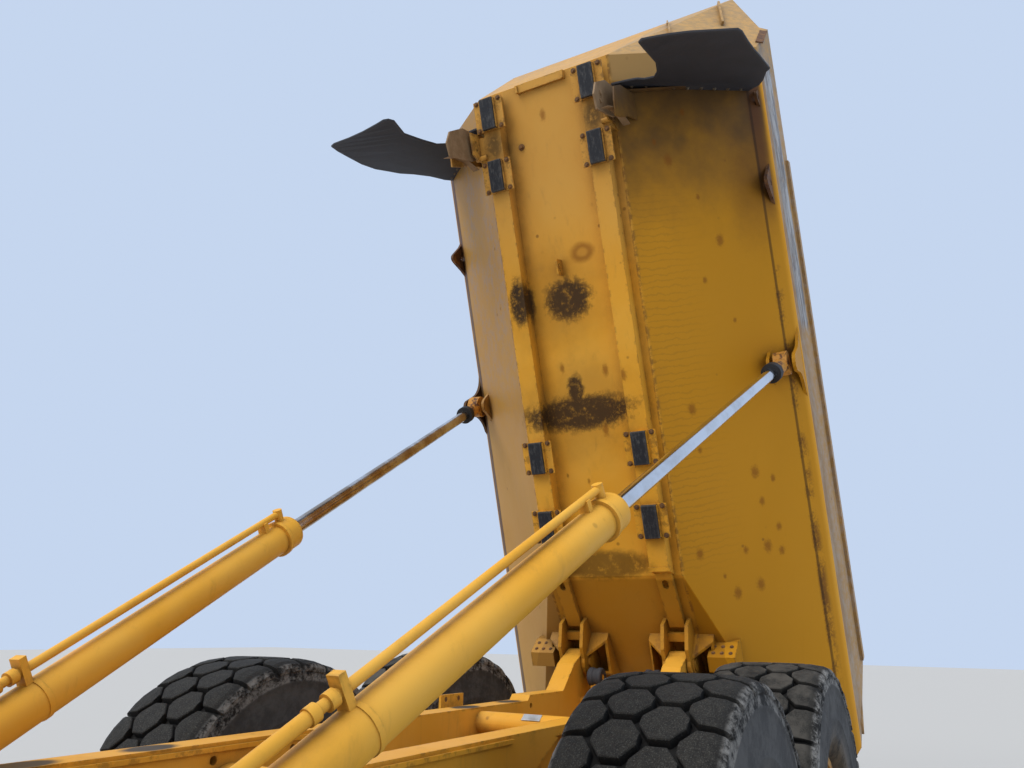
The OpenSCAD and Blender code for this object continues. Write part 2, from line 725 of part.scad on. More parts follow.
module body_underframe() {
    color(paint) on_body() difference() {
        union() {
            both_sides() {
                along_y(rail_in, rail_out) polygon([
                    [ramp_u, 1], [ramp_u + 60, -body_rail_h], [rail_end_u - 40, -body_rail_h], [rail_end_u, 1]
                ]);
                block([ramp_u + 52, rail_in - 8, -body_rail_h - 6], [ramp_u + 80, rail_out + 8, -body_rail_h + 30]);
                for (u = pads_u) {
                    block([u - pad_plate_half, rail_y - pad_plate_half, -body_rail_h - pad_plate_t],
                        [u + pad_plate_half, rail_y + pad_plate_half, -body_rail_h]);
                    // Upturned edges that hold the pad
                    for (k = [-1, 1]) {
                        block([u + k * (pad_half + 5) - 4, rail_y - pad_v, -body_rail_h - pad_plate_t - 14],
                            [u + k * (pad_half + 5) + 4, rail_y + pad_v, -body_rail_h]);
                        block([u - pad_half, rail_y + k * (pad_v + 5) - 4, -body_rail_h - pad_plate_t - 20],
                            [u + pad_half, rail_y + k * (pad_v + 5) + 4, -body_rail_h]);
                    }
                }
                ramp_channel();
                hinge_clevis();
                eye_bracket();
                guide_bracket();
                lifting_eye(3190);
                along_y(side_block_v[0], side_block_v[1]) polygon(side_block);
                // End tab of the strip at the floor's front edge
                block([head_u - 60, strip_half - 14, -42], [head_u - 10, strip_half, 1]);
            }
            lifting_eye(3810);
            // Strip at the floor's front edge, and the tab with two holes
            block([head_u - 60, -strip_half, -26], [head_u - 4, strip_half, 1]);
            difference() {
                block([2740, -47, -86], [2850, -35, 1]);
                for (u = [2775, 2815]) rod_y(11, -48, -34, [u, -50]);
            }
        }
        tub_outside();
    }
}

module body_pads() {
    color(rubber) on_body() both_sides() for (u = pads_u)
        block([u - pad_half, rail_y - pad_v, -body_rail_h - pad_plate_t - pad_t],
            [u + pad_half, rail_y + pad_v, -body_rail_h - pad_plate_t]);
}

// Mudflap outline, [v, w]: it leaves room for the hoist tube when the body is down
flap_u = 3930;
flap_t = 15;
flap = [
    [floor_half + 30, panel_at(floor_half + 30)], [530, -50], [700, -50], [735, -5], [800, -5], [848, -100],
    [852, -420], [840, -700], [870, -745], [1400, -610], [1440, -560], [1440, -200], [1452, 150],
    [1475, 545], [1411, 640], [1340, 800], [chine_half, chine_h]
];
module mudflaps() {
    color(rubber) on_body() both_sides() {
        along_x(flap_u, flap_u + flap_t) polygon(flap);
        // Block at the flap's root
        block([flap_u - 40, 600, -30], [flap_u, 690, panel_at(600)]);
    }
}

// Hoist cylinders: each turns on its lower ball; the rod's eye is open
eye_x = pivot_x + eye_u * cos(tilt) - (eye_w - floor_drop) * sin(tilt);
eye_z = pivot_z + eye_u * sin(tilt) + (eye_w - floor_drop) * cos(tilt);
hoist_base = [-ball_back, ball_y, ball_z];
hoist_vec = [eye_x, eye_v, eye_z] - hoist_base;
hoist_len = norm(hoist_vec);
hoist_yaw = atan2(hoist_vec[1], hoist_vec[0]);
hoist_rise = asin(hoist_vec[2] / hoist_len);

// Local X runs up the cylinder
module hoist_place(side) {
    placed() mirror([0, side == right ? 1 : 0, 0])
        translate(hoist_base) rotate([0, -hoist_rise, hoist_yaw]) children();
}

pipe_r = 17;
pipe_d = 120;
pipe_run = [330, hoist_tube_len - 55];
pipe_hose_end = 740;
pipe_nuts = [730, 795];
// Clamps, [place, height over the pipe's middle]
pipe_clamps = [[850, 52], [2190, 0]];
gland_len = 100;
eye_cap_r = 112;
rod_bore_x = 100;
// The cylinder's length with the body down, and the rod's inner end as stored
hoist_down = norm([pivot_x + eye_u, eye_v, pivot_z + eye_w - floor_drop] - hoist_base);
rod_inner = rod_bore_x + move_gap + hoist_len - hoist_down;
collar_r = 67;
collar_at = 288;

module hoist_tube(side) {
    color(paint) hoist_place(side) difference() {
        union() {
            rod_x(hoist_r, 90, hoist_tube_len - 10);
            rod_x(hoist_r + 13, 90, 150);
            rod_x(hoist_r + 10, hoist_tube_len - gland_len, hoist_tube_len);
            rod_x(hoist_r + 16, hoist_tube_len - gland_len - 10, hoist_tube_len - gland_len + 14);
            rod_x(hoist_r + 4, 860, 880);
            rotate([0, 0, -hoist_yaw]) rod_y(eye_cap_r, -50, 50);
            // Oil pipe on top, with its clamps and end fittings
            rod_x(pipe_r, pipe_run[0], pipe_run[1], [0, pipe_d]);
            rod_x(pipe_r + 4, pipe_run[0] + 5, pipe_hose_end, [0, pipe_d]);
            for (x = pipe_nuts) rod_x(pipe_r + 9, x, x + 30, [0, pipe_d]);
            for (x = pipe_run) translate([x, 0, hoist_r - 8]) cylinder(r = pipe_r + 6, h = pipe_d + pipe_r + 13 - hoist_r);
            for (at = pipe_clamps) block([at[0] - 14, -24, hoist_r - 8], [at[0] + 14, 24, pipe_d + at[1]]);
        }
        rod_x(rod_r + pin_gap, rod_bore_x, hoist_tube_len + 1);
        sphere(r = ball_r + pin_gap);
    }
}

module hoist_rod(side) {
    color(chrome) hoist_place(side) {
        rod_x(rod_r, rod_inner, hoist_len - 60);
        rod_x(collar_r, hoist_len - collar_at, hoist_len - collar_at + 56);
        rod_x(rod_r + 14, hoist_len - collar_at + 50, hoist_len - 60);
        translate([hoist_len, 0, 0]) rotate([0, 0, -hoist_yaw]) rod_y(84, -45, 45);
    }
}

// Cab: one prism from the side cut by one from the front, so the sides lean in
cab_side = [
    [-cab_back, cab_floor], [cab_front - 60, cab_floor], [cab_front, cab_floor + 550],
    [cab_front - 190, cab_top - 150], [cab_front - 280, cab_top], [-cab_back + 60, cab_top],
    [-cab_back, cab_top - 80]
];
cab_face = [
    [-cab_half + 20, cab_floor], [cab_half - 20, cab_floor], [cab_half, cab_floor + 500],
    [cab_half - 60, cab_top - 120], [cab_half - 120, cab_top], [-cab_half + 120, cab_top],
    [-cab_half + 60, cab_top - 120], [-cab_half, cab_floor + 500]
];

module cab_prism(t) {
    intersection() {
        along_y(-2000, 2000) polygon(inset(cab_side, t));
        along_x(-2000, 3000) polygon(inset(cab_face, t));
    }
}

door_rear = -330;
door_front = 640;
door_gap = 6;
window_foot = cab_floor + 640;

// What is cut through the walls for the door, and for each fixed window
module door_hole(t) {
    along_y(200, 2000) polygon(inset([
        [door_rear, cab_floor + 70], [door_front, cab_floor + 70], [door_front + 60, cab_floor + 560],
        [door_front - 60, cab_top - 230], [door_rear, cab_top - 230]
    ], t));
}

module window_holes() {
    along_x(cab_front - 400, 3000) polygon([
        [-cab_half + 110, window_foot - 90], [cab_half - 110, window_foot - 90],
        [cab_half - 150, cab_top - 220], [-cab_half + 150, cab_top - 220]
    ]);
    along_x(-2000, -cab_back + 150) polygon([
        [-cab_half + 130, window_foot + 40], [cab_half - 130, window_foot + 40],
        [cab_half - 170, cab_top - 240], [-cab_half + 170, cab_top - 240]
    ]);
    along_y(-2000, -200) polygon([
        [-cab_back + 140, window_foot], [cab_front - 140, window_foot], [cab_front - 260, cab_top - 240],
        [-cab_back + 140, cab_top - 240]
    ]);
}

// Door hinges: a pin between two lugs on the cab, and a knuckle on the door
door_axis = [door_rear - 12, cab_half + 22];
knuckle_r = 18;
knuckle_h = 70;
hinge_z = [1980, 2860];
mirror_pad_y = cab_half + 10;

module hinge_leaf(x0, x1, h) {
    translate([0, 0, -h / 2]) {
        translate([door_axis[0], door_axis[1], 0]) cylinder(r = knuckle_r, h = h);
        block([x0, cab_half - 90, 0], [x1, door_axis[1], h]);
    }
}

module visor() {
    along_y(120 - cab_half, cab_half - 120) polygon([
        [cab_front - 330, cab_top - 8], [cab_front - 60, cab_top - 70], [cab_front - 50, cab_top - 112],
        [cab_front - 260, cab_top - 90]
    ]);
}

module cab_shell() {
    color(paint) placed() {
        difference() {
            union() {
                cab_prism(0);
                for (z = hinge_z, side = [-1, 1])
                    translate([0, 0, z + side * (knuckle_h / 2 + 14)]) hinge_leaf(door_axis[0] - 18, door_axis[0], 20);
                both_sides() block([cab_front - 130, cab_half - 90, 2460], [cab_front - 60, mirror_pad_y, 2540]);
                // Visor over the windscreen, and the cooler on the roof
                visor();
                along_y(-330, 330) polygon([
                    [-cab_back + 90, cab_top - 20], [160, cab_top - 20], [120, cab_top + 52], [-cab_back + 130, cab_top + 52]
                ]);
            }
            cab_prism(cab_t);
            door_hole(0);
            window_holes();
        }
        for (z = hinge_z) translate([door_axis[0], door_axis[1], z - 60]) cylinder(r = 8, h = 120);
    }
}

glass_t = 10;
module pane_layer() {
    difference() {
        cab_prism(cab_t / 2 - glass_t / 2);
        cab_prism(cab_t / 2 + glass_t / 2);
    }
}

module cab_glass() {
    color(glass) placed() intersection() {
        pane_layer();
        window_holes();
    }
}

module door_window() {
    along_y(200, 2000) polygon(inset([
        [door_rear + 90, cab_floor + 330], [door_front - 90, cab_floor + 330], [door_front - 30, cab_floor + 560],
        [door_front - 140, cab_top - 320], [door_rear + 90, cab_top - 320]
    ], 0));
}

module cab_door() {
    color(paint) placed() difference() {
        union() {
            intersection() {
                cab_prism(0);
                door_hole(door_gap);
            }
            // Handle
            block([door_front - 110, cab_half - 60, 2160], [door_front - 80, cab_half + 46, 2185]);
            block([door_front - 230, cab_half - 60, 2160], [door_front - 200, cab_half + 46, 2185]);
            rod_x(12, door_front - 235, door_front - 75, [cab_half + 40, 2172]);
            for (z = hinge_z) translate([0, 0, z]) difference() {
                hinge_leaf(door_axis[0], door_rear + 60, knuckle_h);
                translate([0, 0, -z]) block([door_rear - 60, 0, 0], [door_rear + door_gap, cab_half + 3, 4000]);
            }
        }
        cab_prism(cab_t);
        door_window();
        for (z = hinge_z) translate([door_axis[0], door_axis[1], z - 60]) cylinder(r = 8 + pin_gap, h = 120);
    }
}

module door_glass() {
    color(glass) placed() intersection() {
        pane_layer();
        door_window();
    }
}

seat_low = cab_floor + 330;
module seat() {
    color(dark) placed() {
        block([-180, -180, cab_floor + cab_t], [160, 180, seat_low]);
        block([-230, -250, seat_low], [280, 250, seat_low + 100]);
        for (y = [-250, 190]) block([-200, y, seat_low + 60], [250, y + 60, seat_low + 150]);
        translate([-230, -230, seat_low + 80]) rotate([0, -10, 0]) {
            cube([110, 460, 640]);
            for (y = [0, 400]) translate([90, y, 80]) cube([55, 60, 480]);
            translate([10, 110, 640]) cube([80, 240, 170]);
        }
        // Armrests
        for (y = [-330, 270]) block([-150, y, seat_low + 210], [190, y + 60, seat_low + 250]);
        for (y = [-330, 240]) block([-150, y, seat_low + 40], [-90, y + 90, seat_low + 215]);
    }
}

module console() {
    color(dark) placed() {
        along_y(-600, 600) polygon([
            [700, cab_floor + cab_t], [900, cab_floor + cab_t], [940, cab_floor + 540], [860, cab_floor + 700],
            [680, cab_floor + 640]
        ]);
        translate([700, 0, cab_floor + 600]) rotate([0, -35, 0]) {
            cylinder(r = 30, h = 200);
            translate([0, 0, 190]) rotate_extrude() translate([200, 0]) circle(r = 16, $fn = 16);
            translate([0, 0, 185]) cylinder(r = 60, h = 12);
            for (a = [0, 120, 240]) rotate([0, 0, a]) translate([40, -15, 184]) cube([160, 30, 12]);
        }
    }
}

// Hood and grille tilt forward together on a hinge behind the front guard
hood_hinge = [2400, 1180];
hood_half = 760;
hood_rear = cab_front + 60;
hood_front = 2560;
hood_t = 40;
hood_foot = 1230;
hood_side = [
    [hood_rear, 1700], [hood_rear + 260, hood_foot], [hood_front - 60, hood_foot], [hood_front, 1420],
    [hood_front - 40, 1850], [hood_front - 200, 2010], [hood_rear + 400, 2200], [hood_rear, 2240]
];
hood_face = [
    [-hood_half, hood_foot - 20], [hood_half, hood_foot - 20], [hood_half - 40, 1950],
    [hood_half - 160, 2110], [hood_half - 300, 2300], [-hood_half + 300, 2300],
    [-hood_half + 160, 2110], [-hood_half + 40, 1950]
];

// Side slots: how many, their span from the hood's rear, the lowest, spacing and height
slots = 7;
slot_x = [240, 760];
slot_z = 1420;
slot_pitch = 58;
slot_h = 26;

module hood_prism(t) {
    intersection() {
        along_y(-2000, 2000) polygon(inset(hood_side, t));
        along_x(-2000, 4000) polygon(inset(hood_face, t));
    }
}

module grille_hole(t) {
    along_x(hood_front - 300, hood_front + 200) polygon(inset([
        [-520, hood_foot + 90], [520, hood_foot + 90], [480, 1820], [-480, 1820]
    ], t));
}

module hood() {
    color(paint) placed() {
        difference() {
            hood_prism(0);
            hood_prism(hood_t);
            // Open underneath and behind
            block([hood_rear - 100, -hood_half + 2 * hood_t, 1000], [hood_front - 2 * hood_t, hood_half - 2 * hood_t, hood_foot + 200]);
            block([hood_rear - 100, -hood_half + 120, 1000], [hood_rear + 200, hood_half - 120, 2120]);
            grille_hole(0);
            for (i = [0:slots - 1]) both_sides()
                block([hood_rear + slot_x[0], hood_half - 200, slot_z + i * slot_pitch],
                    [hood_rear + slot_x[1] - 30 * i, hood_half + 10, slot_z + i * slot_pitch + slot_h]);
        }
        // Air intake
        translate([hood_rear + 330, -420, 2100]) cylinder(r = 88, h = 250);
        translate([hood_rear + 330, -420, 2350]) cylinder(r = 124, h = 70);
        translate([hood_rear + 330, -420, 2420]) cylinder(r1 = 124, r2 = 60, h = 34);
        both_sides() difference() {
            union() {
                rod_y(40, 430, 470, hood_hinge);
                along_y(430, 470) polygon([
                    [hood_hinge[0] - 30, hood_hinge[1]], [hood_hinge[0] + 38, hood_hinge[1]],
                    [hood_front - 65, hood_foot + 15], [hood_front - 60, hood_foot + 70],
                    [hood_hinge[0] - 30, hood_foot + 60]
                ]);
            }
            rod_y(20 + pin_gap, 400, 500, hood_hinge);
        }
    }
}

module grille() {
    color(dark) placed() intersection() {
        difference() {
            hood_prism(5);
            hood_prism(hood_t - 5);
        }
        grille_hole(0);
        for (z = [hood_foot + 90:60:1820])
            block([hood_front - 300, -540, z], [hood_front + 100, 540, z + 34]);
    }
}

// Front guard: a bumper box with the hood's hinge lugs
guard_top = 1060;
guard_back = 2450;
module front_guard() {
    color(paint) placed() {
        difference() {
            along_y(-1210, 1210) polygon([
                [guard_back, 600], [front_overhang - 90, 560], [front_overhang, 700], [front_overhang, 960],
                [front_overhang - 80, guard_top], [guard_back, guard_top]
            ]);
            both_sides() block([front_overhang - 130, 860, 740], [front_overhang + 10, 1140, 920]);
            translate([front_overhang - 100, 0, 500]) cylinder(r = tow_bore_r, h = 700);
        }
        both_sides() {
            for (y = [410, 476]) difference() {
                along_y(y, y + 14) polygon([
                    [guard_back, 1000], [guard_back + 40, 1000], [guard_back + 40, guard_top],
                    [hood_hinge[0] + 30, hood_hinge[1] + 30], [hood_hinge[0] - 30, hood_hinge[1] + 30],
                    [hood_hinge[0] - 30, guard_top]
                ]);
            }
            rod_y(20, 410, 490, hood_hinge);
        }
    }
}

lamp_x = front_overhang - 130;
roof_lamp = [cab_front - 200, 500, cab_top + 52];
module lamps() {
    color("#e9edf0") placed() both_sides() {
        block([lamp_x, 865, 745], [front_overhang - 20, 1135, 915]);
        // Work lamps on the roof, on short feet
        rod_x(58, roof_lamp[0] - 45, roof_lamp[0] + 30, [roof_lamp[1], roof_lamp[2]]);
        difference() {
            translate([roof_lamp[0] - 10, roof_lamp[1], cab_top - 60]) cylinder(r = 12, h = 110);
            visor();
        }
    }
}

// Fenders over the front wheels
fender_r = tyre_r + 70;
fender_t = 30;
fender_in = cab_half + 40;
fender_out = half_track + tyre_w / 2 - 10;
module fenders() {
    color(paint) placed() both_sides() {
        along_y(fender_in, fender_out) difference() {
            translate([0, axle_z]) circle(r = fender_r + fender_t, $fn = 96);
            translate([0, axle_z]) circle(r = fender_r, $fn = 96);
            translate([-far, -far]) square([2 * far, far + axle_z + 250]);
        }
        for (x = beams_x) let(z = axle_z + sqrt(pow(fender_r, 2) - pow(abs(x) - 45, 2)))
            block([x - 45, beam_half, z - 60], [x + 45, fender_in + 60, z]);
    }
}

// Ladder and deck before the left front wheel, with the handrails
deck_z = 1640;
deck_x = [900, 1470];
deck_y = [790, 1390];
ladder_x = [1000, 1420];
tread_rise = 330;
tread_first = 430;
tread_t = 40;
post_r = 16;
hand_z = 2560;
grab_z = 2140;
rail_posts = [
    [deck_x[1] - 20, deck_y[1] - 20, hand_z], [deck_x[1] - 20, deck_y[0] + 20, hand_z],
    [deck_x[0] + 20, deck_y[1] - 20, grab_z], [deck_x[0] + 20, deck_y[1] - 190, grab_z]
];
module steps() {
    color(dark) placed() {
        for (i = [0:3]) let(z = tread_first + i * tread_rise) difference() {
            block([ladder_x[0], 1010 + 12 * i, z], [ladder_x[1], 1380, z + tread_t]);
            for (x = [ladder_x[0] + 45:75:ladder_x[1] - 60]) block([x, 1060, z - 1], [x + 45, 1340, z + tread_t + 1]);
        }
        for (x = [ladder_x[0] - 15, ladder_x[1]]) along_x(x, x + 15) polygon([
            [1000, tread_first - 20], [1390, tread_first - 20], [1390, deck_z], [1000, deck_z]
        ]);
        block([ladder_x[0], front_rail_out, 1000], [ladder_x[1], 1010, 1060]);
        difference() {
            block([deck_x[0], deck_y[0], deck_z], [deck_x[1], deck_y[1], deck_z + tread_t]);
            for (x = [deck_x[0] + 40:90:deck_x[1] - 80]) block([x, deck_y[0] + 50, deck_z - 1], [x + 55, deck_y[1] - 50, deck_z + tread_t + 1]);
        }
        for (at = rail_posts) {
            translate([at[0], at[1], deck_z + 10]) cylinder(r = post_r, h = at[2] - deck_z - 10);
            translate(at) sphere(r = post_r);
        }
        for (z = [2100, hand_z]) rod_y(post_r, rail_posts[1][1], rail_posts[0][1], [rail_posts[0][0], z]);
        rod_y(post_r, rail_posts[3][1], rail_posts[2][1], [rail_posts[2][0], grab_z]);
    }
}

// Fuel tank on the right, with its straps and filler: its outline runs clockwise, so inset makes it grow
tank_x = [990, 1560];
tank = concat(
    arc([-910, 780], 70, 0, -90, 5), arc([-1340, 790], 80, -90, -180, 5),
    arc([-1320, 1400], 100, 180, 90, 5), arc([-910, 1430], 70, 90, 0, 5)
);
module side_tank() {
    color(paint) placed() {
        along_x(tank_x[0], tank_x[1]) polygon(tank);
        for (x = [tank_x[0] + 90, tank_x[1] - 130]) {
            difference() {
                along_x(x, x + 40) polygon(inset(tank, 8));
                along_x(x - 1, x + 41) polygon(inset(tank, -1));
            }
            block([x, -860, 1000], [x + 40, -front_rail_out, 1100]);
        }
        translate([tank_x[0] + 120, -1180, 1490]) cylinder(r = 62, h = 55);
    }
}

// Exhaust: silencer on the tank's deck, and a pipe cut slanting at its top
exhaust_at = [1300, -980];
module exhaust() {
    color(steel) placed() difference() {
        translate([exhaust_at[0], exhaust_at[1], 0]) {
            translate([0, 0, 1500]) cylinder(r = 90, h = 68);
            translate([0, 0, 1560]) cylinder(r = 128, h = 760);
            translate([0, 0, 2320]) cylinder(r1 = 128, r2 = 62, h = 60);
            translate([0, 0, 2370]) cylinder(r = 62, h = 760);
        }
        translate([exhaust_at[0], exhaust_at[1], 3150]) rotate([0, 35, 0]) cube([400, 300, 160], center = true);
        translate([exhaust_at[0], exhaust_at[1], 2700]) cylinder(r = 54, h = 700);
    }
}

module mirrors() {
    color(dark) placed() both_sides() {
        for (z = [2480, 2520]) rod_y(14, mirror_pad_y, 1330, [cab_front - 95, z]);
        along_y(1210, 1430) polygon(concat(
            arc([cab_front - 95, 2680], 20, 180, 90, 4), [[cab_front - 40, 2700], [cab_front - 40, 2200]],
            arc([cab_front - 95, 2220], 20, 270, 180, 4)
        ));
    }
}

rear_frame();
bogie_beams();
rear_axles();
rear_shafts();
hitch_yoke();
dump_tub();
body_underframe();
body_pads();
mudflaps();
hoist_tube(left);  // hoist_tube_left
hoist_tube(right);  // hoist_tube_right
hoist_rod(left);  // hoist_rod_left
hoist_rod(right);  // hoist_rod_right
steer_tube(left);  // steer_tube_left
steer_tube(right);  // steer_tube_right
steer_rod(left);  // steer_rod_left
steer_rod(right);  // steer_rod_right
front_frame();
front_axle();
engine_block();
cab_shell();
cab_glass();
cab_door();
door_glass();
seat();
console();
hood();
grille();
front_guard();
lamps();
fenders();
steps();
side_tank();
exhaust();
mirrors();
tyre(0, left);  // tyre_front_left
tyre(0, right);  // tyre_front_right
tyre(mid_x, left);  // tyre_mid_left
tyre(mid_x, right);  // tyre_mid_right
tyre(rear_x, left);  // tyre_rear_left
tyre(rear_x, right);  // tyre_rear_right
rim(0, left);  // rim_front_left
rim(0, right);  // rim_front_right
rim(mid_x, left);  // rim_mid_left
rim(mid_x, right);  // rim_mid_right
rim(rear_x, left);  // rim_rear_left
rim(rear_x, right);  // rim_rear_right
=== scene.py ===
from functools import partial
from math import copysign, cos, exp, pi, radians, sin
import bmesh
import bpy
from mathutils import Matrix, Vector


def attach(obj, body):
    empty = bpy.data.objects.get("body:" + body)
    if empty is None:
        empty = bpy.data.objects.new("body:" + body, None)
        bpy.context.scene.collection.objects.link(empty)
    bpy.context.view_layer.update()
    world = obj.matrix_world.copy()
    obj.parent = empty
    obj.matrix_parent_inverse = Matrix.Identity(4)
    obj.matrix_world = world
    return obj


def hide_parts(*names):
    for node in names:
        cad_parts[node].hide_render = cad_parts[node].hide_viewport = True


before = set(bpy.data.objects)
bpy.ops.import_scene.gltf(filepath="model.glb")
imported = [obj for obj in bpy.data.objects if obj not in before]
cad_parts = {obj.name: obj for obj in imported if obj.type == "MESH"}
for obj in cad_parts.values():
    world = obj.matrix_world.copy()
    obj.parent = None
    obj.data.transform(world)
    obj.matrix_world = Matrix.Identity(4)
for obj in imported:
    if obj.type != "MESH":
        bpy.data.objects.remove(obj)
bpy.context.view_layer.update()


# Camera: a wide lens held 1.74 m over the ground beside the hitch, looking back and up at the
# raised body. Its three axes are written out from the view's yaw, pitch and roll.
def add(name, data):
    made = bpy.data.objects.new(name, data)
    bpy.context.scene.collection.objects.link(made)
    return made


yaw, pitch, roll = radians(29.56), radians(17.41), radians(0.89)
forward = Vector((-cos(yaw) * cos(pitch), -sin(yaw) * cos(pitch), sin(pitch)))
level = forward.cross(Vector((0, 0, 1))).normalized()
upright = level.cross(forward)
right = cos(roll) * level + sin(roll) * upright
up = cos(roll) * upright - sin(roll) * level
stand = Matrix.Translation((1.5315, 2.162, 1.738))
camera = add("camera", bpy.data.cameras.new("camera"))
camera.matrix_world = stand @ Matrix((right, up, -forward)).transposed().to_4x4()
camera.data.sensor_width = 36
camera.data.lens = 27.89
camera.data.clip_end = 200
bpy.context.scene.camera = camera
bpy.context.scene.view_settings.view_transform = "Standard"


# Floor and light: one pale plain sheet under a soft overcast sky. The surfaces see the sky's
# own blue in their reflections, and a wide soft sun stands high in front of the raised body.
def node(owner, kind, inputs=None, **settings):
    """Adds a shader node to the owner, which is a tree or any socket in it. The inputs are
    numbers, colours, or other nodes' sockets."""
    tree = owner.id_data
    made = tree.nodes.new("ShaderNode" + kind)
    for key, value in settings.items():
        setattr(made, key, value)
    for key, value in (inputs or {}).items():
        if isinstance(value, bpy.types.NodeSocket):
            tree.links.new(value, made.inputs[key])
        else:
            made.inputs[key].default_value = value
    return made


def mix(amount, below, above):
    """One colour laid over another, as strongly as amount says."""
    below, above = [c if isinstance(c, bpy.types.NodeSocket) else (*c, 1) for c in (below, above)]
    return node(amount, "Mix", {0: amount, 6: below, 7: above}, data_type="RGBA").outputs[2]


def calc(operation, *values):
    """Puts sockets and numbers through one operation, from left to right."""
    owner = next(v for v in values if isinstance(v, bpy.types.NodeSocket))
    total = values[0]
    for value in values[1:] or (0.0,):
        total = node(owner, "Math", {0: total, 1: value}, operation=operation).outputs["Value"]
    return total


def feed(shader, name, socket):
    socket.id_data.links.new(socket, shader.inputs[name])


def finish(name, roughness, metallic=0.0, shine=0.5):
    """A new material with its shader and the surface's own coordinates."""
    made = bpy.data.materials.new(name)
    made.use_nodes = True
    shader = made.node_tree.nodes["Principled BSDF"]
    for key, value in (("Roughness", roughness), ("Metallic", metallic), ("Specular IOR Level", shine)):
        shader.inputs[key].default_value = value
    return made, shader, node(made.node_tree, "TexCoord").outputs["Object"]


def model(name, mesh, material):
    """Links a finished bmesh as an object."""
    data = bpy.data.meshes.new(name)
    mesh.to_mesh(data)
    mesh.free()
    data.materials.append(material)
    return add(name, data)


most = partial(calc, "MAXIMUM")
world = bpy.data.worlds.new("sky")
world.use_nodes = True
ray = node(world.node_tree, "LightPath").outputs
seen = most(ray["Is Camera Ray"], ray["Is Glossy Ray"], ray["Is Transmission Ray"])
background = world.node_tree.nodes["Background"]
feed(background, "Color", mix(seen, (0.64, 0.67, 0.71), (0.65, 0.78, 1.0)))
background.inputs["Strength"].default_value = 0.86
bpy.context.scene.world = world
sun = add("sun", bpy.data.lights.new("sun", "SUN"))
sun.data.energy = 2.2
sun.data.angle = radians(50)
sun.data.color = (1.0, 0.95, 0.88)
sun.rotation_euler = Vector((0.62, -0.22, 0.8)).to_track_quat("Z", "Y").to_euler()
floor_finish, shader, place = finish("floor", 0.9)
shader.inputs["Base Color"].default_value = (0.55, 0.56, 0.57, 1)
sheet = bmesh.new()
bmesh.ops.create_grid(sheet, x_segments=1, y_segments=1, size=60)
model("floor", sheet, floor_finish)


# Rear frame: two box rails with narrow flanges, joined by cross members, all welded plate and
# sprayed with machine enamel, which has faded in patches, is darkened in its corners by grime
# and painted shade, and is worn through along its edges.
times, plus, minus = partial(calc, "MULTIPLY"), partial(calc, "ADD"), partial(calc, "SUBTRACT")


def xyz(place):
    return node(place, "SeparateXYZ", {"Vector": place}).outputs


def noise(place, scale, detail=4.0, rough=0.6, stretch=None):
    if stretch:
        place = node(place, "Mapping", {"Vector": place, "Scale": stretch}).outputs["Vector"]
    inputs = {"Vector": place, "Scale": scale, "Detail": detail, "Roughness": rough}
    return node(place, "TexNoise", inputs).outputs["Fac"]


def spread(value, start, end):
    """The value's range of 0 to 1 drawn out to start and end."""
    return node(value, "MapRange", {"Value": value, "To Min": start, "To Max": end}).outputs["Result"]


def rise(value, low, high):
    """Goes smoothly from 0 below low to 1 above high; the other way round if low is the greater."""
    inputs = {"Value": value, "From Min": min(low, high), "From Max": max(low, high)}
    if low > high:
        inputs.update({"To Min": 1, "To Max": 0})
    return node(value, "MapRange", inputs, interpolation_type="SMOOTHSTEP").outputs["Result"]


def bump(shader, height, strength, distance=0.002):
    made = node(height, "Bump", {"Height": height, "Strength": strength, "Distance": distance})
    feed(shader, "Normal", made.outputs["Normal"])


def hollows(place, reach, inside=False):
    """1 in the corners, where shade falls and dirt gathers, or, inside the metal, 1 along the outer
    edges.
    """
    made = node(place, "AmbientOcclusion", {"Distance": reach}, samples=4, inside=inside)
    return rise(made.outputs["AO"], 0.98, 0.45)


def oval(place, cloud, u, v, half_u, half_v, ragged=0.9, soft=0.55, border=1.0):
    """1 in an oval about u, v, with a ragged border that fades over soft."""
    scale = (1 / half_u, 1 / half_v, 0)
    shift = (-u / half_u, -v / half_v, 0)
    spot = node(place, "Mapping", {"Vector": place, "Location": shift, "Scale": scale})
    far = node(place, "VectorMath", {0: spot.outputs["Vector"]}, operation="LENGTH").outputs["Value"]
    uneven = times(minus(cloud, 0.5), ragged)
    return rise(plus(far, uneven), border + soft / 2, border - soft / 2)


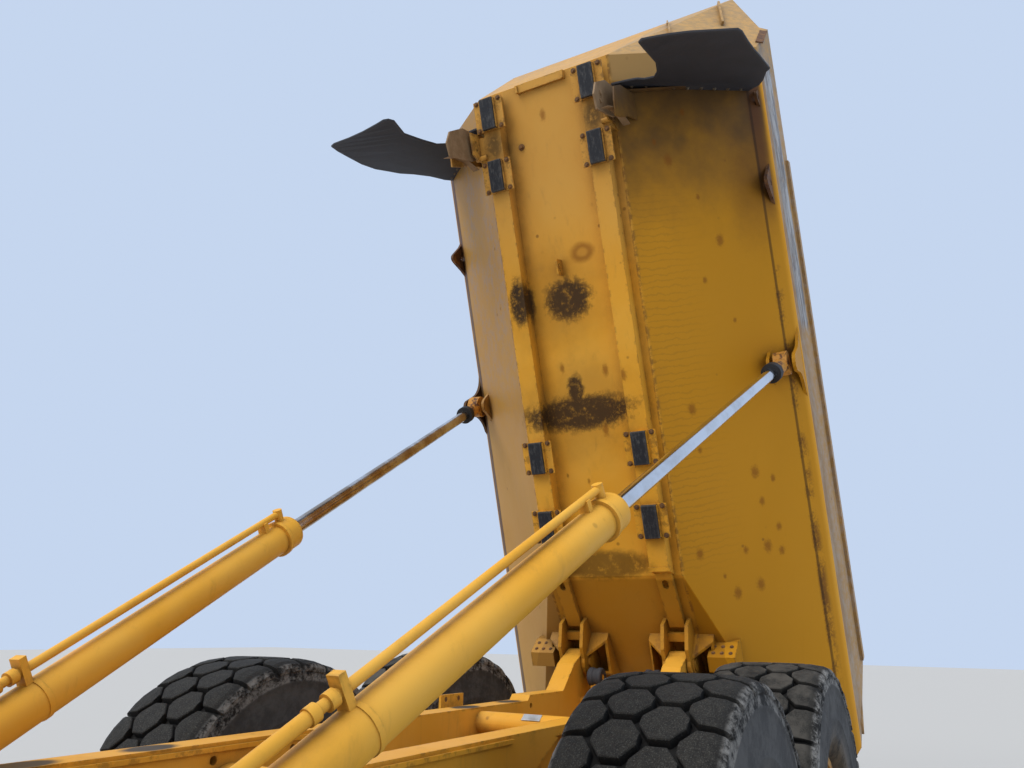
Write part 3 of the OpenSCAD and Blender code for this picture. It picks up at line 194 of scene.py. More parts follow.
def enamel(name, colour, faded, grime_and_shade=0.5, rust=0.5, gloss=0.42, wear=0.6, marks=None):
    """Weathered machine enamel, with painted shade in its corners. marks adds what is particular to one
    piece.
    """
    made, shader, place = finish(name, gloss, shine=0.18)
    tone = mix(rise(noise(place, 1.3, 5.0), 0.35, 0.72), colour, faded)
    runs = noise(place, 5.0, 6.0, 0.7, (3.0, 3.0, 0.35))
    tone = mix(times(rise(runs, 0.54, 0.8), grime_and_shade * 0.5), tone, (0.19, 0.105, 0.035))
    cloud = noise(place, 2.1, 8.0, 0.72)
    tone = mix(times(rise(cloud, 0.56, 0.78), grime_and_shade * 0.45), tone, (0.12, 0.075, 0.035))
    if marks:
        tone = marks(place, tone, cloud)
    # Painted shade in the corners, from ambient occlusion, broken into patches like grime
    corner = times(hollows(place, 0.11), rise(cloud, 0.3, 0.62))
    tone = mix(times(corner, 0.35 + grime_and_shade * 0.5), tone, (0.055, 0.032, 0.016))
    fine = noise(place, 19.0, 5.0, 0.7)
    edge = times(hollows(place, 0.016, True), rise(fine, 0.48, 0.62))
    tone = mix(times(edge, wear), tone, (0.1, 0.048, 0.022))
    cells = node(place, "TexVoronoi", {"Vector": place, "Scale": 9.0, "Randomness": 1.0})
    specks = times(rise(cells.outputs["Distance"], 0.15, 0.06), rise(noise(place, 1.7, 2.0), 0.56, 0.66))
    tone = mix(times(specks, rust), tone, (0.13, 0.045, 0.015))
    low = times(rise(xyz(place)["Z"], 1.5, 0.3), rise(cloud, 0.3, 0.6))
    feed(shader, "Base Color", mix(times(low, 0.5), tone, (0.3, 0.24, 0.17)))
    feed(shader, "Roughness", spread(cloud, gloss - 0.06, gloss + 0.25))
    bump(shader, noise(place, 26.0, 4.0), 0.1)
    return made


def dress(material, *names):
    for name in names:
        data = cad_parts[name].data
        data.materials.clear()
        data.materials.append(material)


rail_top = 1.34
rail_side = 0.382
pad_places = (-0.0205, -0.4655, -2.4845, -2.9725)


def frame_marks(place, tone, cloud):
    """Where the body's pads land, the rails' tops are worn dark in ovals."""
    worn = most(*[oval(place, cloud, x, y, 0.12, 0.07, soft=0.45, border=0.925)
                  for x in pad_places for y in (-rail_side, rail_side)])
    worn = times(worn, rise(xyz(place)["Z"], rail_top - 0.012, rail_top - 0.004))
    return mix(times(worn, 0.95), tone, (0.022, 0.022, 0.015))


frame_enamel = enamel("frame_enamel", (0.82, 0.4, 0.035), (0.84, 0.45, 0.065), grime_and_shade=0.55,
                      marks=frame_marks)
dress(frame_enamel, "rear_frame")


# Bolts of the rear frame: hexagon heads on washers, on the rails beside the hoist's lower pins,
# round the ends of the body's hinge, and round the walking beams' pivots.
def coat(name, colour, second, roughness=0.6, metallic=0.0, scale=8.0, relief=0.2):
    """A plain finish of two near tones in cloudy patches, with a fine grain."""
    made, shader, place = finish(name, roughness, metallic)
    feed(shader, "Base Color", mix(rise(noise(place, scale, 6.0), 0.35, 0.7), colour, second))
    rough = spread(noise(place, scale * 1.7), max(roughness - 0.12, 0.03), min(roughness + 0.12, 1.0))
    feed(shader, "Roughness", rough)
    bump(shader, noise(place, 60.0, 5.0), relief)
    return made


def piece(name, mesh, material, body):
    """Links a finished bmesh as an object that rides on a body."""
    made = model(name, mesh, material)
    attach(made, body)
    return made


def turned(place, axis):
    """The place moved so that its z axis points along axis."""
    return Matrix.Translation(place) @ Vector(axis).to_track_quat("Z", "Y").to_matrix().to_4x4()


def cone(mesh, segments, low, high, depth, place):
    """A disc or a cut cone, centred on the place, with the radius low below and high above."""
    return bmesh.ops.create_cone(mesh, cap_ends=True, segments=segments, radius1=low, radius2=high,
                                 depth=depth, matrix=place)["verts"]


def bolt(mesh, place, radius, height):
    """A hexagon head on its washer, standing on the place's z axis."""
    washer = place @ Matrix.Translation((0, 0, height * 0.15))
    head = place @ Matrix.Translation((0, 0, height * 0.75))
    cone(mesh, 14, radius * 1.45, radius * 1.4, height * 0.3, washer)
    cone(mesh, 6, radius, radius * 0.9, height, head)


def bolt_ring(mesh, centre, side, reach, count, radius, height, first=0.0):
    """Bolts in a circle round a crosswise axis, on a face that looks to the given side."""
    for k in range(count):
        angle = 2 * pi * (k + first) / count
        at = Vector(centre) + Vector((reach * cos(angle), 0, reach * sin(angle)))
        bolt(mesh, turned(at, (0, side, 0)), radius, height)


zinc = coat("dull_zinc", (0.3, 0.27, 0.22), (0.16, 0.11, 0.07), 0.5, 0.8, 30.0)
hinge = Vector((-3.980522, 0, 1.552))
rail_outside = 0.447
frame_bolts = bmesh.new()
for side in (-1, 1):
    for x in (0.21, 0.15, 0.09, 0.03):
        for z in (1.09, 1.19):
            bolt(frame_bolts, turned((x, side * rail_outside, z), (0, side, 0)), 0.013, 0.01)
    bolt_ring(frame_bolts, (hinge.x, side * rail_outside, hinge.z), side, 0.062, 8, 0.007, 0.006)
    bolt_ring(frame_bolts, (-2.4995, side * 0.7151, 0.87), side, 0.13, 6, 0.01, 0.008)
piece("frame_bolts", frame_bolts, zinc, "rear_frame")

# Bogie and axles: the walking beams, the driven axles and the open shafts between them. Cast and
# forged, painted with the frame, dusty, and oily on the shafts.
dress(frame_enamel, "bogie_beams")
iron = coat("oily_iron", (0.055, 0.048, 0.042), (0.12, 0.085, 0.055), 0.55, 0.7)
dress(iron, "rear_shafts")
dusty_enamel = enamel("dusty_enamel", (0.62, 0.34, 0.075), (0.4, 0.28, 0.15), grime_and_shade=1.0)
dress(dusty_enamel, "rear_axles", "front_axle")
wheel_x = {"front": 2.5105, "mid": -1.6645, "rear": -3.3345}
wheel_height = 0.8
axle_bolts = bmesh.new()
for x in (wheel_x["mid"], wheel_x["rear"]):
    for side in (-1, 1):
        bolt_ring(axle_bolts, (x, side * 0.1901, wheel_height), side, 0.222, 14, 0.011, 0.009)
piece("axle_bolts", axle_bolts, zinc, "rear_frame")

# Hitch yoke: a casting between the two frames, with the steering hub and the rods' lugs, painted
# like the frames it joins.
dress(frame_enamel, "hitch_yoke", "front_frame")

# Steering and hoist cylinders: painted tubes with a bolted gland and a dark wiper ring, and
# ground rods with a hard chrome skin, which is dull and browned on the right hoist rod.
tube_enamel = enamel("tube_enamel", (0.86, 0.44, 0.045), (0.88, 0.5, 0.085), grime_and_shade=0.42, rust=0.3,
                     gloss=0.36, wear=0.45)
dress(tube_enamel, "hoist_tube_left", "hoist_tube_right", "steer_tube_left", "steer_tube_right")


def band(value, start, full, fading, end):
    """1 between full and fading, and 0 before start and after end."""
    return times(rise(value, start, full), rise(value, end, fading))


def dot(vector, axis):
    return node(vector, "VectorMath", {0: vector, 1: axis}, operation="DOT_PRODUCT").outputs["Value"]


def rod_chrome(name, along, stained, start, collar):
    """Chrome skin between the tube and the collar; past the collar the neck and the eye are painted
    and rusty. along is the rod's unit direction, start the pin that it is measured from."""
    made, shader, place = finish(name, 0.2, 1.0)
    cloud = noise(place, 5.0, 6.0)
    reach = minus(dot(place, along), start.dot(along))
    skin = mix(rise(cloud, 0.4, 0.8), (0.72, 0.75, 0.8), (0.55, 0.55, 0.56))
    film = rise(noise(place, 2.2, 5.0, 0.65), 0.7 - 0.42 * stained, 0.92 - 0.42 * stained)
    skin = mix(times(film, 0.35 + 0.6 * stained), skin, (0.3, 0.2, 0.11))
    black = band(reach, collar - 0.006, collar - 0.004, collar + 0.056, collar + 0.06)
    painted = rise(reach, collar + 0.054, collar + 0.058)
    flaking = rise(noise(place, 14.0, 6.0, 0.7), 0.5, 0.58)
    skin = mix(painted, skin, mix(flaking, (0.62, 0.29, 0.045), (0.13, 0.052, 0.02)))
    feed(shader, "Base Color", mix(black, skin, (0.02, 0.02, 0.022)))
    bare = minus(1.0, most(painted, black))
    feed(shader, "Metallic", bare)
    rough = plus(times(cloud, 0.16), times(minus(1.0, bare), 0.45), 0.06 + 0.12 * stained)
    feed(shader, "Roughness", rough)
    bump(shader, noise(place, 90.0, 3.0), 0.05)
    return made


def outward(mesh):
    bmesh.ops.recalc_face_normals(mesh, faces=mesh.faces)


def only(kind, elements):
    """The corners, edges or faces among a mesh's elements."""
    return [x for x in elements if isinstance(x, getattr(bmesh.types, "BM" + kind))]


tube_length = 2.375
collar = 4.78247
for side, sign, stained in (("left", 1, 0.05), ("right", -1, 0.85)):
    base = Vector((0.514478, sign * 0.615, 1.07))
    swing = Matrix.Rotation(radians(171.99) * sign, 3, "Z") @ Matrix.Rotation(radians(-29.05), 3, "Y")
    along = swing @ Vector((1, 0, 0))
    dress(rod_chrome(f"hoist_chrome_{side}", along, stained, base, collar), f"hoist_rod_{side}")
    across = Vector((0, 0, 1)).cross(along).normalized()
    axes = Matrix((across, along.cross(across), along)).transposed().to_4x4()
    gland = Matrix.Translation(base + along * tube_length) @ axes
    # A wiper ring with a rounded nose, and the bolts round its face
    wiper = bmesh.new()
    bmesh.ops.create_circle(wiper, cap_ends=False, segments=48, radius=0.06)
    run = wiper.edges[:]
    for radius, height in ((0.06, 0.01), (0.056, 0.016), (0.044, 0.017), (0.0405, 0.012),
                           (0.0405, 0.001)):
        grown = bmesh.ops.extrude_edge_only(wiper, edges=run)["geom"]
        tops = set(only("Vert", grown))
        run = [e for e in only("Edge", grown) if tops.issuperset(e.verts)]
        for v in tops:
            v.co = Vector((v.co.x, v.co.y, 0)).normalized() * radius + Vector((0, 0, height))
    outward(wiper)
    wiper.transform(gland)
    for f in wiper.faces:
        f.smooth = True
    piece(f"hoist_wiper_{side}", wiper, iron, f"hoist_tube_{side}")
    heads = bmesh.new()
    for k in range(10):
        angle = 2 * pi * (k + 0.5) / 10
        at = Matrix.Translation((0.073 * cos(angle), 0.073 * sin(angle), 0))
        bolt(heads, gland @ at, 0.0065, 0.008)
    piece(f"hoist_gland_bolts_{side}", heads, zinc, f"hoist_tube_{side}")

steer_chrome, shader, place = finish("steer_chrome", 0.16, 1.0)
film = rise(noise(place, 4.0, 6.0), 0.4, 0.8)
feed(shader, "Base Color", mix(film, (0.7, 0.73, 0.78), (0.5, 0.52, 0.56)))
dress(steer_chrome, "steer_rod_left", "steer_rod_right")

# Dump body: plate welded into a tub with sloped side panels, upright side walls and a headboard
# that leans forward. Its place is written along the body: u from the hinge forward, v across,
# w up from the floor, turned to the raised position.
tilt = radians(71.44)
on_body = Matrix.Translation(hinge) @ Matrix.Rotation(-tilt, 4, "Y") @ Matrix.Translation((0, 0, -0.056))
flat_back = Matrix.Rotation(tilt, 3, "Y") @ -hinge + Vector((0, 0, 0.056))


corner_face = (0.7417, 0.4554, -0.4924)


def body_marks(place, tone, cloud):
    """Soot and oil on the floor between the rails, rust spots on the side panels, rust along the
    groove under the walls, dried grey mud, painted shade on the near side panel with the mudflap's
    painted shadow, painted shade on the far side's lower wall band, and the walls' faded outer faces with
    a scraped strip in a painted sky reflection."""
    inputs = {"Vector": place, "Rotation": (0, tilt, 0), "Location": flat_back}
    flat = node(place, "Mapping", inputs).outputs["Vector"]
    u, v, w = xyz(flat)
    side = calc("ABSOLUTE", v)
    slope = most(times(minus(side, 0.5), 0.9947), 0.0)
    ramp = times(most(minus(0.62, u), 0.0), 0.3443)
    depth = minus(w, most(slope, ramp))
    outside = rise(depth, 0.02, 0.012)
    near = rise(v, 0.49, 0.52)
    far = rise(v, -0.49, -0.52)
    fine = noise(flat, 14.0, 6.0, 0.75)
    broad = noise(flat, 3.2, 5.0, 0.6)
    grain = noise(flat, 60.0, 3.0, 0.6)

    # The near side panel is painted darker and browner as shade, and darker still towards the front as
    # the painted shadow of the mudflap that hangs there
    flap_shadow_reach = rise(plus(u, times(minus(broad, 0.5), 0.9)), 2.75, 4.0)
    shade = times(near, outside, flap_shadow_reach, rise(u, 3.965, 3.935), 0.93)
    film = times(rise(u, 2.3, 3.6), outside, rise(side, 0.55, 0.48), 0.42)
    tone = mix(film, tone, (0.46, 0.27, 0.105))
    # Painted shade: the near side panel darker and browner all over
    tone = mix(times(near, outside, 0.9), tone, (0.58, 0.27, 0.01))
    tone = mix(times(near, rise(u, 3.94, 3.97), 0.8), tone, (0.42, 0.28, 0.125))
    # The mudflap's painted shadow, darkest towards the front and stopping at the flap's root
    tone = mix(shade, tone, (0.058, 0.04, 0.026))
    tone = mix(times(rise(minus(ramp, slope), 0.004, 0.012), 0.55), tone, (0.34, 0.145, 0.01))
    # Dried grey mud on the far side panel, in blotches and runs
    mud = times(far, rise(fine, 0.42, 0.58), rise(broad, 0.35, 0.6), rise(side, 1.25, 1.22), 0.6,
                rise(u, 1.2, 2.9))
    tone = mix(times(far, outside, 0.66), tone, (0.36, 0.205, 0.065))
    tone = mix(mud, tone, (0.37, 0.27, 0.21))
    # Painted shade, dark brown in patches, on the far side's lower wall band
    edge_shade = times(rise(v, -1.235, -1.262), outside, rise(broad, 0.2, 0.45), 0.88)
    tone = mix(edge_shade, tone, (0.075, 0.036, 0.02))
    # Fine ripples of run-down dirt beside the rail
    inputs = {"Vector": flat, "Scale": 7.0, "Distortion": 5.0, "Detail": 4.0, "Detail Scale": 1.6,
              "Detail Roughness": 0.7}
    lines = node(place, "TexWave", inputs, bands_direction="X").outputs["Fac"]
    ripple = times(rise(lines, 0.8, 0.97), near, rise(side, 0.92, 0.6), band(u, 0.5, 0.8, 3.0, 3.4), 0.2)
    tone = mix(ripple, tone, (0.22, 0.1, 0.02))
    # Soot
    soot = most(
        oval(flat, fine, 1.77, -0.05, 0.12, 0.4, 1.7), oval(flat, fine, 1.93, -0.07, 0.11, 0.06, 1.7),
        oval(flat, fine, 2.57, -0.03, 0.14, 0.17, 1.9), oval(flat, fine, 2.6, -0.36, 0.16, 0.07, 1.7),
        times(oval(flat, fine, 0.7, -0.05, 0.1, 0.36), 0.7),
        times(oval(flat, fine, 3.73, 0.382, 0.1, 0.07, 1.6, 1.2), 0.8),
        times(oval(flat, fine, 3.73, -0.382, 0.1, 0.07, 1.6, 1.2), 0.8))
    tone = mix(times(soot, outside, rise(fine, 0.22, 0.5), 0.97), tone, (0.014, 0.011, 0.009))
    halo = most(oval(flat, broad, 1.8, -0.05, 0.3, 0.46, 1.6, 1.3),
                oval(flat, broad, 2.57, -0.1, 0.3, 0.3, 1.6, 1.3))
    tone = mix(times(halo, outside, 0.3), tone, (0.16, 0.075, 0.02))
    # Rust rings and spots
    spots = [minus(oval(flat, fine, 2.872, 0.124, 0.065, 0.085, 0.5, 0.7),
                   times(oval(flat, fine, 2.872, 0.124, 0.03, 0.04, 0.5, 0.8), 0.6))]
    for cu, cv in (
            (2.1, -0.15), (2.04, 0.17), (1.99, 0.33), (1.29, -0.07), (1.34, -0.225), (1.63, 0.11),
            (3.88, -0.02), (1.2, 0.968), (1.136, 1.063), (0.995, 0.983), (0.802, 1.056), (0.684, 0.979),
            (0.69, 0.855), (0.636, 1.053), (0.549, 0.722), (0.417, 0.778), (1.696, 0.677), (0.441, 0.909),
            (0.73, 0.607), (3.728, 0.86), (3.131, 0.879), (3.399, 0.746), (2.555, 0.85), (2.257, 0.982),
            (2.821, 0.965), (3.528, 0.685), (1.414, 0.688)):
        size = 0.008 + 0.012 * abs(sin(cu * 37.0 + cv * 11.0))
        spots.append(oval(flat, grain, cu, cv, size * 1.9, size, 1.5, 1.3))
    tone = mix(times(most(*spots), outside, 0.68), tone, (0.25, 0.085, 0.008))
    # The groove under the wall: a thin dark line, brown rust beside it, and a wide stain at its front
    beside = times(band(side, 1.225, 1.245, 1.262, 1.3),
                   rise(plus(times(grain, 0.35), broad), 0.62, 0.8))
    front = times(band(side, 1.21, 1.26, 1.28, 1.34), rise(u, 2.7, 3.3))
    stain = times(oval(flat, fine, 3.16, 1.2, 0.34, 0.13, 0.8, 1.4), 0.45)
    tone = mix(times(most(beside, front, stain), outside, 0.78), tone, (0.115, 0.04, 0.012))
    line = band(side, 1.236, 1.242, 1.25, 1.258)
    tone = mix(times(line, outside, 0.66), tone, (0.04, 0.02, 0.008))
    seam = times(band(side, 0.488, 0.498, 0.506, 0.52), outside, rise(fine, 0.44, 0.56), 0.6)
    tone = mix(seam, tone, (0.14, 0.06, 0.02))
    # Outer faces of the walls: faded, grey and scraped, with a scraped strip painted bluish grey as the
    # sky's reflection
    wall = rise(side, 1.325, 1.337)
    chalk = mix(rise(fine, 0.4, 0.62), (0.42, 0.27, 0.12), (0.4, 0.35, 0.31))
    tone = mix(times(wall, rise(w, 0.86, 0.95), 0.8), tone, chalk)
    strip = times(band(w, 0.93, 0.95, 1.15, 1.17), band(u, 2.1, 2.2, 4.1, 4.3), wall,
                  rise(fine, 0.32, 0.42))
    scraped = noise(flat, 9.0, 6.0, 0.7, (0.35, 1.0, 2.2))
    # The strip's bluish greys are a painted reflection of the sky, broken by scrapes
    strip_sky_reflection = mix(rise(scraped, 0.44, 0.58), (0.17, 0.2, 0.25), (0.52, 0.58, 0.66))
    tone = mix(times(strip, 0.85), tone, strip_sky_reflection)
    # The headboard's outside: chalky, with a brown bloom
    bloom = times(rise(u, 4.13, 4.16), rise(depth, 0.02, 0.05), 0.62)
    chalk = mix(rise(fine, 0.38, 0.62), (0.6, 0.36, 0.12), (0.34, 0.24, 0.13))
    tone = mix(bloom, tone, chalk)
    # Inside of the tub: ground bright and brown by the loads
    folded = node(place, "CombineXYZ", {"X": u, "Y": side, "Z": w}).outputs["Vector"]
    ahead = dot(folded, corner_face)
    lean = minus(u, times(w, 0.479))
    worn = times(rise(depth, 0.03, 0.038), rise(side, 1.36, 1.33), rise(ahead, 3.273, 3.255),
                 rise(lean, 4.115, 4.09), 0.9)
    ground = rise(noise(flat, 6.0, 8.0, 0.75, (0.4, 1.0, 1.0)), 0.42, 0.62)
    steel = mix(ground, (0.2, 0.12, 0.07), (0.34, 0.31, 0.28))
    return mix(worn, tone, steel)


body_enamel = enamel("body_enamel", (0.8, 0.385, 0.03), (0.82, 0.43, 0.055), grime_and_shade=0.5, rust=0.6,
                     marks=body_marks)
dress(body_enamel, "dump_tub", "body_underframe")


# Pads: blocks of hard black rubber that the body lands on, each in a shallow frame on a plate
# with a bolt in each corner. Their faces are worn grey and their edges are chipped.
def chamfer(mesh, edges, offset, segments=1):
    bmesh.ops.bevel(mesh, geom=list(edges), offset=offset, affect="EDGES", segments=segments,
                    profile=0.5, material=-1)


def box(mesh, matrix):
    """A cuboid as large as the matrix scales it. Returns its edges."""
    corners = bmesh.ops.create_cube(mesh, size=1, matrix=matrix)["verts"]
    return {e for v in corners for e in v.link_edges}


pad_rubber, shader, place = finish("pad_rubber", 0.62, shine=0.3)
scuff = rise(noise(place, 16.0, 6.0, 0.75, (1.0, 3.0, 1.0)), 0.48, 0.72)
tone = mix(scuff, (0.018, 0.02, 0.026), (0.085, 0.088, 0.092))
feed(shader, "Base Color", mix(times(hollows(place, 0.014, True), 0.55), tone, (0.15, 0.14, 0.125)))
bump(shader, noise(place, 70.0, 6.0, 0.75), 0.45, 0.003)
pads_u = (3.96, 3.515, 1.496, 1.008)
plate_w = -0.114
pad_size = Vector((0.222, 0.103, 0.035))
downward = Matrix.Rotation(pi, 4, "X")
heads = bmesh.new()
for side, name in ((-1, "right"), (1, "left")):
    blocks = bmesh.new()
    for u in pads_u:
        seat = Matrix.Translation((u, side * rail_side, plate_w - pad_size.z / 2))
        chamfer(blocks, box(blocks, seat @ Matrix.Diagonal((*pad_size, 1))), 0.006, 2)
        for du in (-0.098, 0.098):
            for dv in (-0.088, 0.088):
                corner = Matrix.Translation((u + du, side * rail_side + dv, plate_w))
                bolt(heads, on_body @ corner @ downward, 0.0125, 0.012)
    blocks.transform(on_body)
    outward(blocks)
    pads = piece(f"pads_{name}", blocks, pad_rubber, "dump_body")
    if side > 0:
        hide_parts("body_pads")
bolt(heads, on_body @ Matrix.Translation((3.702, -0.216, 0.0)) @ downward, 0.016, 0.018)
rusty_bolt = coat("rusty_bolts", (0.12, 0.062, 0.028), (0.26, 0.13, 0.045), 0.7, 0.2, 40.0)
piece("pad_bolts", heads, rusty_bolt, "dump_body")


# Guide brackets: beside the front pads, a plate with two holes and a shorter outer plate, joined
# by a bent web. They straddle the rail when the body comes down, and are scraped brown by it.
def plate(mesh, outline, thickness, place):
    """A flat plate cut to an outline in the place's x and y, as thick as given along its z."""
    face = mesh.faces.new([mesh.verts.new(place @ Vector((x, y, 0))) for x, y in outline])
    solid = bmesh.ops.extrude_face_region(mesh, geom=[face])["geom"]
    across = place.to_3x3() @ Vector((0, 0, thickness))
    bmesh.ops.translate(mesh, verts=only("Vert", solid), vec=across)


def settle(mesh, side):
    """Turns a mesh made for the left side to its side and onto the raised body."""
    bmesh.ops.scale(mesh, vec=(1, side, 1), verts=mesh.verts)
    mesh.transform(on_body)
    outward(mesh)


guide_steel, shader, place = finish("guide_steel", 0.7, shine=0.3)
bare = mix(rise(noise(place, 11.0, 6.0, 0.7), 0.36, 0.62), (0.115, 0.07, 0.052), (0.25, 0.175, 0.125))
bare = mix(times(hollows(place, 0.02, True), 0.5), bare, (0.34, 0.22, 0.1))
feed(shader, "Base Color", bare)
bump(shader, noise(place, 45.0, 5.0, 0.7), 0.25)
inner_outline = [(3.87, -0.03), (3.875, -0.25), (3.81, -0.43), (3.72, -0.49), (3.63, -0.47),
                 (3.64, -0.3), (3.655, -0.16), (3.7, -0.03), (3.7, 0.05), (3.86, 0.05)]
outer_outline = [(3.86, 0.1), (3.845, -0.17), (3.8, -0.3), (3.7, -0.33), (3.6, -0.34),
                 (3.625, -0.2), (3.66, -0.08), (3.68, 0.1)]
on_edge = Matrix.Rotation(pi / 2, 4, "X")
for side, name in ((-1, "right"), (1, "left")):
    guide = bmesh.new()
    plate(guide, inner_outline, 0.012, Matrix.Translation((0, 0.548, 0)) @ on_edge)
    web = bmesh.ops.create_grid(guide, x_segments=7, y_segments=1, size=0.5,
                                matrix=Matrix.Rotation(pi / 2, 4, "Y"))
    for v in web["verts"]:
        along = v.co.z + 0.5
        bend = 0.035 * sin(pi * along) - 0.015 * along
        v.co = Vector((3.64 + bend, 0.56 + 0.048 * (v.co.y + 0.5), -0.44 + along * 0.4))
    for u, w in ((3.754, -0.375), (3.7, -0.395)):
        cone(guide, 16, 0.015, 0.015, 0.018, Matrix.Translation((u, 0.5485, w)) @ on_edge)
    outer = bmesh.new()
    plate(outer, outer_outline, 0.01, Matrix.Translation((0, 0.618, 0)) @ on_edge)
    settle(guide, side)
    settle(outer, side)
    made = piece(f"guide_inner_{name}", guide, guide_steel, "dump_body")
    made.modifiers.new("web", "SOLIDIFY").thickness = 0.004
    piece(f"guide_outer_{name}", outer, body_enamel, "dump_body")


# Mudflaps: two sheets of 15 mm rubber, bolted to the body's front under a clamp strip, and cut
# away where the hoist's tubes lie when the body is down. With the body up they stick out over
# the wheels, droop at their corners and curl a little.
def panel_at(v):
    """Height of the tub's outside over the floor's plane."""
    return max(0.0, (abs(v) - 0.5) * 0.9947)


flap_rubber, shader, place = finish("flap_rubber", 0.72, shine=0.22)
# The rubber's near black is tinted blue in cloudy patches, a painted reflection of the sky
sky_tint = rise(noise(place, 4.0, 8.0, 0.7, (1.0, 1.0, 0.5)), 0.38, 0.66)
tone = mix(sky_tint, (0.006, 0.01, 0.024), (0.013, 0.019, 0.038))
tone = mix(times(hollows(place, 0.02, True), 0.6), tone, (0.09, 0.09, 0.095))
feed(shader, "Base Color", tone)
bump(shader, noise(place, 55.0, 6.0, 0.7), 0.35)
# The sheets' outlines across and up the body, [v, w], from the clamped inner corner round
root = [(0.52, -0.048), (0.7, -0.048), (0.735, -0.005), (0.8, -0.005), (0.848, -0.1)]
flap_cut = {
    "left": [(0.878, -0.21), (0.902, -0.305), (0.914, -0.483), (0.922, -0.602), (0.933, -0.726),
             (0.961, -0.76), (0.982, -0.752), (1.232, -0.702), (1.462, -0.61), (1.472, -0.554),
             (1.466, -0.363), (1.465, -0.166), (1.47, -0.015), (1.471, 0.222), (1.472, 0.332),
             (1.439, 0.396), (1.384, 0.602), (1.342, 0.7), (1.254, 0.752), (0.505, 0.008)],
    "right": [(0.852, -0.296), (0.845, -0.518), (0.76, -0.749), (0.765, -0.807), (0.79, -0.835),
              (1.22, -0.835), (1.263, -0.81), (1.308, -0.694), (1.356, -0.53), (1.42, -0.29),
              (1.443, -0.09), (1.4, 0.176), (1.345, 0.29), (1.3, 0.464), (1.29, 0.66),
              (1.254, 0.752), (0.505, 0.008)]}
for name, sign, droop in (("left", 1, 0.1), ("right", -1, 0.045)):
    sheet = bmesh.new()
    sheet.faces.new([sheet.verts.new((0, v, w)) for v, w in root + flap_cut[name]])
    for k in range(1, 18):
        for centre, normal in (((0, 0.5, -1.0 + k * 0.12), (0, -0.705, 0.709)),
                               ((0, k * 0.12 - 0.1, 0), (0, 0.709, 0.705))):
            whole = sheet.verts[:] + sheet.edges[:] + sheet.faces[:]
            bmesh.ops.bisect_plane(sheet, geom=whole, plane_co=centre, plane_no=normal)
    for corner in sheet.verts:
        v, w = corner.co.y, corner.co.z
        off = max(0.0, (v - 0.5) * 0.705 - w * 0.709)
        bend = 0.045 * max(0.0, min(1.0, (v - 0.55) / 0.7)) + droop * max(0.0, off - 0.12)
        curl = 0.018 * sin(v * 6.0 + 1.2 * sign) * min(1.0, off * 1.5)
        corner.co = Vector((3.922 - bend + curl, v * sign, w))
    bmesh.ops.solidify(sheet, geom=sheet.faces[:], thickness=0.015)
    outward(sheet)
    rims = [e for e in sheet.edges if len(e.link_faces) == 2 and e.calc_face_angle(0) > 1.2]
    chamfer(sheet, rims, 0.003)
    sheet.transform(on_body)
    outward(sheet)
    made = piece(f"mudflap_{name}", sheet, flap_rubber, "dump_body")
    if sign > 0:
        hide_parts("mudflaps")
    # Clamp strip along the root, with its bolts
    start, end = Vector((3.905, 0.56, panel_at(0.56))), Vector((3.865, 1.235, panel_at(1.235)))
    bolts = bmesh.new()
    for k in range(9):
        at = start.lerp(end, (k + 0.5) / 9) + Vector((0, 0.02, -0.02))
        bolt(bolts, on_body @ turned((at.x, at.y * sign, at.z), (-1, 0, 0)), 0.01, 0.01)
    strip = bmesh.new()
    lying = Matrix.Rotation(radians(44.85), 4, "X") @ Matrix.Rotation(radians(-2.4), 4, "Z")
    seat = Matrix.Translation((start + end) / 2 + Vector((0.004, 0.022, -0.022))) @ lying
    chamfer(strip, box(strip, seat @ Matrix.Diagonal((0.008, 0.94, 0.055, 1))), 0.002)
    settle(strip, sign)
    piece(f"flap_clamp_{name}", strip, body_enamel, "dump_body")
    piece(f"flap_bolts_{name}", bolts, zinc, "dump_body")


# Small parts welded to the dump body: stiffeners on the headboard's outside, lifting plates under
# the walls' edges and an end strip on one wall. With them, the bolts of the blocks at the hinge.
def bar(mesh, start, end, normal, width, height):
    """A flat bar from start to end, standing on the face that has the given normal."""
    start, end, normal = Vector(start), Vector(end), Vector(normal).normalized()
    along = (end - start).normalized()
    seat = Matrix((along, normal.cross(along).normalized(), normal)).transposed().to_4x4()
    seat.translation = (start + end) / 2 + normal * height / 2
    edges = box(mesh, seat @ Matrix.Diagonal(((end - start).length, width, height, 1)))
    chamfer(mesh, edges, min(width, height) * 0.18, 2)


def loop(mesh, points):
    """A closed run through the points: its corners and its edges."""
    ring = [mesh.verts.new(point) for point in points]
    return ring, [mesh.edges.new((ring[k - 1], ring[k])) for k in range(len(ring))]


head_face = (0.902, 0, -0.432)
stiffeners = bmesh.new()
bar(stiffeners, (4.859, 0.578, 1.511), (4.528, 0.742, 0.815), head_face, 0.012, 0.03)
bar(stiffeners, (4.525, 0.742, 0.81), (4.372, 0.787, 0.62), corner_face, 0.012, 0.03)
bar(stiffeners, (4.908, 0.981, 1.61), (4.534, 1.074, 1.132), corner_face, 0.018, 0.034)
stiffeners.transform(on_body)
piece("head_stiffeners", stiffeners, body_enamel, "dump_body")

